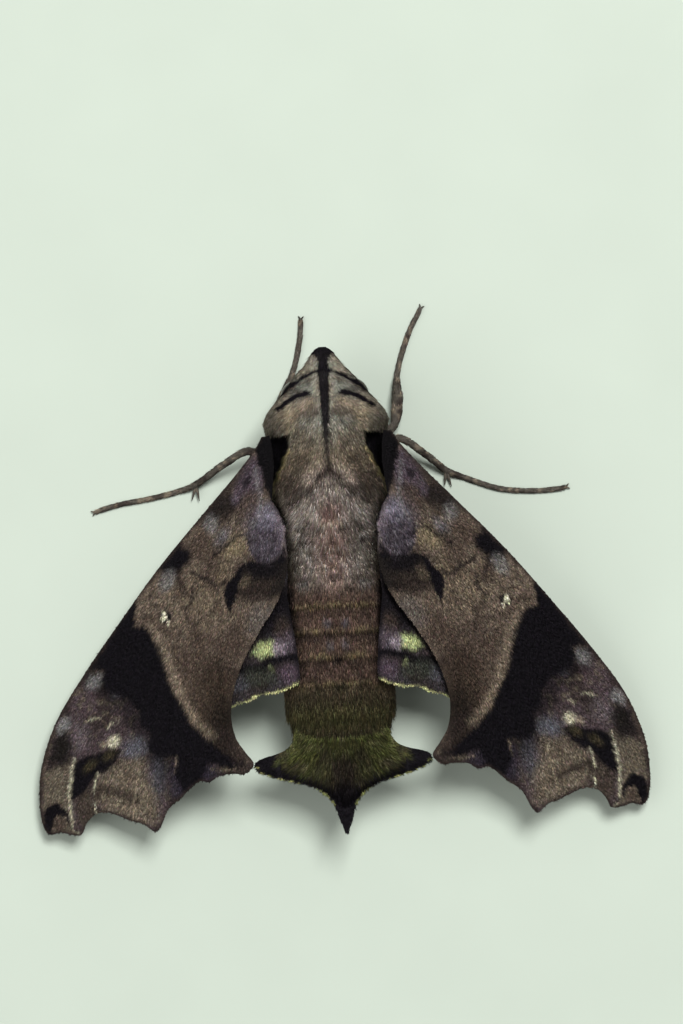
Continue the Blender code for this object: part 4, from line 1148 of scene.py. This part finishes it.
def pad_lift(back, side):
    """How much the shoulder pad raises the forewing's top."""
    cosine, sine = math.cos(PAD_LEAN), math.sin(PAD_LEAN)
    along = (back - PAD[0]) * cosine + (side - PAD[1]) * sine
    across = (side - PAD[1]) * cosine - (back - PAD[0]) * sine
    circle = np.hypot(along / PAD_REACH[0], across / PAD_REACH[1])
    front = smoothstep(-1.0, -0.1, along / PAD_REACH[0])
    return PAD_RISE * np.sqrt(np.clip(1 - circle**2, 0.0, 1.0)) * front


def no_lift(back, side):
    return np.zeros(len(back))


def on_pad(back, side, points):
    return pad_lift(back, side) > 0.1 * PAD_RISE


def vein_rise(veins, plan):
    rise = np.zeros(len(plan))
    for vein in veins:
        far = distance_to(rounded(vein, 0.8), plan)
        rise = np.maximum(rise, VEIN_RISE * np.exp(-((far / VEIN_REACH) ** 2)))
    return rise


def closed(outline):
    return np.concatenate([outline, outline[:1]])


def plan_net(outline, spacing):
    """Places over a closed outline and the triangles between them."""
    low, high = outline.min(axis=0), outline.max(axis=0)
    backs = np.arange(low[0], high[0], spacing * NET_ROWS)
    sides = np.arange(low[1], high[1], spacing)
    back, side = np.meshgrid(backs, sides, indexing="ij")
    side = side + (np.arange(len(backs)) % 2)[:, None] * spacing / 2
    plan = np.column_stack([back.ravel(), side.ravel()])
    plan = plan[within(outline, plan)]
    plan = plan[distance_to(closed(outline), plan) > spacing * NET_RIM]
    points = [Vector(point) for point in np.concatenate([outline, plan])]
    found = geometry.delaunay_2d_cdt(points, [], [list(range(len(outline)))], 1, 1e-5)
    return np.array([tuple(point) for point in found[0]]), np.array(found[2])


def plan_roots(surface, outline, count, seed, keep):
    """Random places on a flat form's upper side: plan, points, normals and unwrapped places."""
    low, high = outline.min(axis=0), outline.max(axis=0)
    back, side, roots, normals = sampled(surface, count, tuple(zip(low, high)), seed, keep)
    plan = np.column_stack([back, side])
    normals = normals * np.sign(normals[:, 2])[:, None]
    return plan, roots, normals, (plan - low) / (high - low).max()


def near_edge(outline, plan, reach, least):
    """The share of their full length that scales have near an edge."""
    return np.clip(distance_to(closed(outline), plan) / reach, least, 1.0)


def edge_walls(triangles, count):
    """Triangles that join the two faces of a plate round its edge."""
    ends = np.concatenate([triangles[:, [0, 1]], triangles[:, [1, 2]], triangles[:, [2, 0]]])
    ordered = np.sort(ends, axis=1)
    _, index, uses = np.unique(ordered, axis=0, return_inverse=True, return_counts=True)
    rim = ends[uses[index.ravel()] == 1]
    first, second = rim[:, 0], rim[:, 1]
    near = np.column_stack([second, first, first + count])
    far = np.column_stack([second, first + count, second + count])
    return np.concatenate([near, far])


def plate(name, triangles, top, under, colours, finish):
    """A closed plate between two levels of the same net."""
    count = len(top)
    triangles = faces_up(top, triangles)
    walls = edge_walls(triangles, count)
    faces = np.concatenate([triangles, triangles[:, ::-1] + count, walls])
    return mesh_piece(name, np.concatenate([top, under]), faces, colours, finish)


class Wing:
    """One kind of wing: its outline, its level and its markings, on the right side."""

    def __init__(self, name, edge, root, veins, drop, lift, paint):
        self.name = name
        self.outline = np.concatenate([rounded(edge, EDGE_STEP), np.array(root)])
        self.veins = veins
        self.drop = drop
        self.lift = lift
        self.paint = paint

    def holds(self, back, side, points):
        return within(self.outline, np.column_stack([back, side]))

    def level(self, back, side):
        return forewing_height(back, side) - self.drop

    def top(self, back, side):
        rise = vein_rise(self.veins, np.column_stack([back, side])) + self.lift(back, side)
        return world(back, side, self.level(back, side) + SKIN_TOP + rise)

    def skin(self, tag, turn, finish):
        plan, triangles = plan_net(self.outline, WING_NET)
        back, side = plan[:, 0], plan[:, 1]
        top = self.top(back, side) * (turn, 1, 1)
        under = world(back, side, self.level(back, side) + SKIN_BOTTOM) * (turn, 1, 1)
        colours = self.paint(plan)
        below = colours * WING_UNDER_SHADE + np.array(UMBER) * WING_UNDER_TINT
        colours = np.concatenate([colours * SKIN_SHADE, below])
        made = plate(self.name + "_skin_" + tag, triangles, top, under, colours, finish)
        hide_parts(self.name + "_" + tag)

    def scales(self, name, turn, finish, growing, seed, keep):
        """A coat of scales on the wing's upper side, laid out from its root."""
        count, (length, width, lift) = growing
        plan, roots, normals, unwrap = plan_roots(self.top, self.outline, count, seed, keep)
        away = plan - np.array(SCALES_START)
        lie = np.column_stack([away[:, 1], -away[:, 0], np.zeros(len(plan))])
        growth = [array * (turn, 1, 1) for array in (roots, normals, lie)]
        sizes = (length * near_edge(self.outline, plan, *WING_EDGE), width, lift)
        made = coat(name, growth, sizes, self.paint(plan), unwrap, finish, seed + 1)


def wings():
    skin = scales_finish("wing_skin_scales")
    scales = scales_finish("wing_coat_scales")
    fore = Wing("forewing", FORE_EDGE, FORE_ROOT, FORE_VEINS, 0.0, pad_lift, paint_forewing)
    hind = Wing("hindwing", HIND_EDGE, HIND_ROOT, HIND_VEINS, HIND_DROP, no_lift, paint_hindwing)
    for tag, turn, seed in (("R", 1, 300), ("L", -1, 310)):
        fore.skin(tag, turn, skin)
        fore.scales("forewing_coat_" + tag, turn, scales, FORE_COAT, seed, fore.holds)
        fore.scales("pad_coat_" + tag, turn, scales, PAD_COAT, seed + 4, on_pad)
        hind.skin(tag, turn, skin)
        hind.scales("hindwing_coat_" + tag, turn, scales, HIND_COAT, seed + 40, hind.holds)


def fan_half(back, side):
    width = np.clip(1 - (side / FAN_CORE_WIDTH) ** 2, 0.0, None)
    length = np.clip(1 - (back - BODY_END) / FAN_CORE_LENGTH, 0.0, 1.0)
    return FAN_EDGE_HALF + FAN_CORE * width * length


def fan_top(back, side):
    middle = FAN_LEVEL + FAN_RISE * (back - BODY_END)
    return world(back, side, middle + fan_half(back, side))


def tail_fan():
    half = np.concatenate([[FAN_ROOT], rounded(FAN_EDGE, EDGE_STEP)])
    outline = np.concatenate([half, half[::-1] * (1, -1)])
    plan, triangles = plan_net(outline, EDGE_STEP)
    top = fan_top(plan[:, 0], plan[:, 1])
    under = top.copy()
    under[:, 2] -= 2 * fan_half(plan[:, 0], plan[:, 1])
    colours = paint_fan(np.abs(plan))
    colours = np.concatenate([colours * SKIN_SHADE, colours * FAN_UNDER_SHADE])
    finish = scales_finish("fan_skin_scales")
    made = plate("tail_fan_skin", triangles, top, under, colours, finish)
    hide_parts("tail_fan")
    fan_coat(outline)


def fan_coat(outline):
    def keep(back, side, points):
        return within(outline, np.column_stack([back, side]))

    count, (length, width, lift) = FAN_COAT
    plan, roots, normals, unwrap = plan_roots(fan_top, outline, count, 501, keep)
    side = plan[:, 1]
    start, over, most = FAN_SPREAD
    spread = np.clip((np.abs(side) - start) / over, 0.0, most) * np.sign(side)
    lie = np.column_stack([spread, -np.ones(len(plan)), np.zeros(len(plan))])
    sizes = (length * near_edge(outline, plan, *FAN_EDGE_SCALES), width, lift)
    colours = paint_fan(np.abs(plan))
    finish = scales_finish("fan_coat_scales")
    made = coat("tail_fan_coat", (roots, normals, lie), sizes, colours, unwrap, finish, 502)


def tube_rings(line, sides, step, fineness=1.0, segment=0.0, swell=0.0):
    """Rings of points along (back, side, height, radius) points, stepped at each segment."""
    path = rounded(line, step)
    radius = path[:, 3] * (fineness + swell * np.maximum(0.0, path[:, 3] - FOOT_RADIUS))
    height = np.maximum(path[:, 2] - path[:, 3], 0.0) + radius
    centre = world(path[:, 0], path[:, 1], height)
    ahead = np.gradient(centre, axis=0)
    across = unit(np.cross(ahead, (0.0, 0.0, 1.0)))
    over = unit(np.cross(across, ahead))
    if segment:
        run = np.concatenate([[0.0], np.cumsum(np.linalg.norm(np.diff(centre, axis=0), axis=1))])
        radius = radius * (SEGMENT_WAIST + SEGMENT_FLARE * (run / segment % 1.0))
    angle = full_turn(sides)
    ring = across[:, None] * np.cos(angle)[None, :, None]
    ring = ring + over[:, None] * np.sin(angle)[None, :, None]
    points = centre[:, None] + ring * radius[:, None, None]
    points[..., 2] = np.maximum(points[..., 2], FLOOR_GAP)
    return points


def ring_growth(rings, count, seed):
    """Roots, normals and lie of scales on a tube, and the ring and side of each root."""
    random = np.random.default_rng(seed)
    ring = random.integers(1, len(rings) - 4, count)
    side = random.integers(0, rings.shape[1], count)
    roots = rings[ring, side]
    centre = rings.mean(axis=1)
    normals = unit(roots - centre[ring])
    lie = centre[ring + 1] - centre[ring]
    roots = roots + lie * random.random(count)[:, None]
    return (roots, normals, unit(lie)), ring, side


def leg_colours(points, seed):
    plan = points[:, :2]
    colour = np.tile(np.array(LEG_BROWN), (len(points), 1))
    dark = smoothstep(0.45, 0.7, noise(plan, 0.7, seed))[:, None]
    fleck = smoothstep(0.6, 0.8, noise(plan, 0.25, seed + 50))[:, None]
    colour = colour * (1 - dark * 0.75) + np.array(DARK) * dark * 0.75
    return colour * (1 - fleck * 0.5) + np.array(TAN) * fleck * 0.5


def joined(name, tubes, colours, finish):
    """One piece of several closed tubes."""
    pieces = [closed_tube(name, rings, tone, finish) for rings, tone in zip(tubes, colours)]
    main = pieces[0]
    with bpy.context.temp_override(
        active_object=main,
        object=main,
        selected_objects=pieces,
        selected_editable_objects=pieces,
    ):
        bpy.ops.object.join()
    main.name = name
    return main


def spike(start, end, thick):
    middle = tuple((first + second) / 2 for first, second in zip(start, end))
    return ((*start, thick), (*middle, thick * 0.8), (*end, thick * 0.2))


def claws(line):
    """Two small hooks at the tip of a foot."""
    tip, before = np.array(line[-1][:2]), np.array(line[-2][:2])
    along = (tip - before) / np.linalg.norm(tip - before)
    aside = np.array((-along[1], along[0]))
    hooks = []
    for turn in (1, -1):
        places = [(tip + along * ahead + aside * out * turn, rest) for ahead, out, *rest in CLAW]
        hooks.append([(*place, *rest) for place, rest in places])
    return hooks


def with_hip(line):
    """A leg's line that starts inside the body, so that no gap shows at its root."""
    back, side, height, radius = line[0]
    hip = (back, side * HIP_INWARD, height + HIP_RISE, radius * HIP_WIDTH)
    return (hip, *line)


def legs():
    finish = scales_finish("leg_skin_scales")
    count, sizes = LEG_COAT
    spurs = dict(SPURS)
    spurs["hindleg_L"] = [mirrored(spur) for spur in SPURS["hindleg_R"]]
    lines = {
        "foreleg_R": FORELEG_R,
        "foreleg_L": FORELEG_L,
        "midleg_R": MIDLEG_R,
        "midleg_L": MIDLEG_L,
        "hindleg_R": HINDLEG,
        "hindleg_L": mirrored(HINDLEG),
    }
    tufts = []
    for number, (name, line) in enumerate(lines.items()):
        rings = [tube_rings(with_hip(line), *LEG_NET, LEG_FINENESS, LEG_SEGMENT, SHANK_SWELL)]
        for start, end in spurs.get(name, ()):
            rings.append(tube_rings(spike(start, end, SPUR_THICK), *SPUR_NET))
        rings += [tube_rings(hook, *CLAW_NET) for hook in claws(line)]
        tones = [leg_colours(ring.reshape(-1, 3), 600 + number) for ring in rings]
        made = joined(name + "_skin", rings, tones, finish)
        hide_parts(name)
        growth, ring, side = ring_growth(rings[0], count, 650 + number)
        turned = (number + 0.1 + 0.8 * side / LEG_NET[0]) / len(lines)
        unwrap = np.column_stack([turned, ring / len(rings[0])])
        tufts.append((*growth, leg_colours(growth[0], 600 + number) * LEG_COAT_SHADE, unwrap))
    *growth, colours, unwrap = [np.concatenate(group) for group in zip(*tufts)]
    made = coat("coat_legs", growth, sizes, colours, unwrap, scales_finish("leg_coat_scales"), 700)


def antenna(tag, line, finish):
    rings = tube_rings(line, *FEELER_NET, FEELER_FINENESS, FEELER_SEGMENT)
    colours = leg_colours(rings.reshape(-1, 3), 720) * FEELER_SHADE
    colours = colours + np.array(TAN) * FEELER_TINT
    made = closed_tube("antenna_skin_" + tag, rings, colours, finish)
    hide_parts("antenna_" + tag)


def palp(tag, line, skin, scales):
    count, sizes = PALP_COAT
    rings = tube_rings(line, *PALP_NET)
    colours = np.tile(np.array(MOUSE) * PALP_SHADE, (rings.shape[0] * rings.shape[1], 1))
    made = closed_tube("palp_skin_" + tag, rings, colours, skin)
    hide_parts("palp_" + tag)
    growth, ring, side = ring_growth(rings, count, 730)
    colours = np.tile(np.array(MOUSE) * PALP_COAT_SHADE, (len(ring), 1))
    unwrap = np.column_stack([side / rings.shape[1], ring / len(rings)])
    made = coat("palp_coat_" + tag, growth, sizes, colours, unwrap, scales, 731)


def feelers():
    """The two antennas and the two palps, side by side."""
    horn = scales_finish("antenna_skin_scales")
    skin = scales_finish("palp_skin_scales")
    scales = scales_finish("palp_coat_scales")
    for tag, turned in (("R", list), ("L", mirrored)):
        antenna(tag, turned(ANTENNA), horn)
        palp(tag, turned(PALP), skin, scales)


def tongue():
    """The tongue, coiled like a watch spring between the palps."""
    back, side, height = TONGUE
    count, sides = 160, 12
    angle = np.linspace(0.0, 2 * np.pi * TONGUE_TURNS, count)
    reach = np.linspace(*TONGUE_REACH, count)
    ahead, rise = back + reach * np.cos(angle), height + reach * np.sin(angle)
    centre = world(ahead, np.full(count, side), rise)
    over = np.cross(unit(np.gradient(centre, axis=0)), (1.0, 0.0, 0.0))
    around = full_turn(sides)
    radius = np.linspace(*TONGUE_RADIUS, count)[:, None, None]
    ring = np.cos(around)[None, :, None] * np.array((TONGUE_WIDTH, 0.0, 0.0))
    ring = ring + np.sin(around)[None, :, None] * over[:, None]
    rings = centre[:, None] + ring * radius
    colours = np.tile(np.array(HORN), (count * sides, 1))
    made = closed_tube("tongue_coil", rings, colours, scales_finish("tongue_horn"))
    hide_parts("tongue")


def eyes():
    finish = eye_finish()
    back, side, height = EYE
    rings, sides = 48, 72
    polar = np.linspace(EYE_POLE, np.pi - EYE_POLE, rings)
    down, turn = np.meshgrid(polar, full_turn(sides), indexing="ij")
    wide = np.sin(down)
    ball = np.stack([np.cos(down), wide * np.cos(turn), wide * np.sin(turn)], axis=-1)
    for tag, out in (("R", side), ("L", -side)):
        points = np.array((out, MIDDLE - back, height)) + ball * EYE_RADIUS
        colours = np.tile(np.array(DARK), (rings * sides, 1))
        made = closed_tube("eye_dome_" + tag, points, colours, finish)
        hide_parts("eye_" + tag)


def eye_finish():
    """Glossy and nearly black, with the fine net of the eye's facets."""
    made, nodes, links, shader = material("eye_facets", *EYE_GLOSS)
    distance = texture(nodes, links, "ShaderNodeTexVoronoi", FACETS).outputs["Distance"]
    add_tones(nodes, links, shader, distance, FACET_EDGE, FACET_MIDDLE)
    add_bump(nodes, links, shader, distance, *FACET_BUMP)
    return made


def floor_finish():
    """Pale matt paper with a faint unevenness."""
    made, nodes, links, shader = material("floor_paper", PAPER_ROUGHNESS)
    cloud = texture(nodes, links, "ShaderNodeTexNoise", PAPER_CLOUDS).outputs["Fac"]
    add_tones(nodes, links, shader, cloud, PAPER_DARK, PAPER_LIGHT)
    return made


def stage():
    """A pale plain floor, soft light from above and a camera that looks down as in the photo."""
    turns = ((-1, -1), (1, -1), (1, 1), (-1, 1))
    corners = [(across * FLOOR_REACH, along * FLOOR_REACH, 0.0) for across, along in turns]
    mesh = bpy.data.meshes.new("floor")
    mesh.from_pydata(corners, [], [(0, 1, 2, 3)])
    mesh.materials.append(floor_finish())
    floor = bpy.data.objects.new("floor", mesh)
    bpy.context.scene.collection.objects.link(floor)
    for lamp in LAMPS:
        area_light(*lamp)
    background = bpy.data.worlds.new("studio")
    background.use_nodes = True
    node = background.node_tree.nodes["Background"]
    node.inputs["Color"].default_value = (1.0, 1.0, 1.0, 1.0)
    node.inputs["Strength"].default_value = SKY
    bpy.context.scene.world = background
    bpy.context.scene.view_settings.view_transform = "Standard"
    camera()


def area_light(name, place, size, power):
    """A soft square lamp that shines at the middle of the moth."""
    data = bpy.data.lights.new(name, "AREA")
    data.size = size
    data.energy = power
    light = bpy.data.objects.new(name, data)
    light.location = place
    light.rotation_euler = (-Vector(place)).to_track_quat("-Z", "Y").to_euler()
    bpy.context.scene.collection.objects.link(light)


def camera():
    """Straight down on the moth, turned and moved so that it lies where the photo has it."""
    right = (IMAGE_WIDTH / 2 - HEAD_PIXEL[0]) / PIXELS_PER_MM
    down = (IMAGE_HEIGHT / 2 - HEAD_PIXEL[1]) / PIXELS_PER_MM
    cosine, sine = math.cos(BODY_TURN), math.sin(BODY_TURN)
    side = right * cosine - down * sine
    back = right * sine + down * cosine
    data = bpy.data.cameras.new("camera")
    data.sensor_fit = "VERTICAL"
    data.sensor_height = SENSOR
    data.lens = SENSOR * CAMERA_DISTANCE / (IMAGE_HEIGHT / PIXELS_PER_MM * MM)
    data.clip_start = CLIP_START
    made = bpy.data.objects.new("camera", data)
    made.location = (side * MM, (MIDDLE - back) * MM, CAMERA_DISTANCE + CAMERA_LEVEL * MM)
    made.rotation_euler = (0.0, 0.0, -BODY_TURN)
    bpy.context.scene.collection.objects.link(made)
    bpy.context.scene.camera = made


stage()
body_skin()
body_coats()
wings()
tail_fan()
legs()
feelers()
tongue()
eyes()
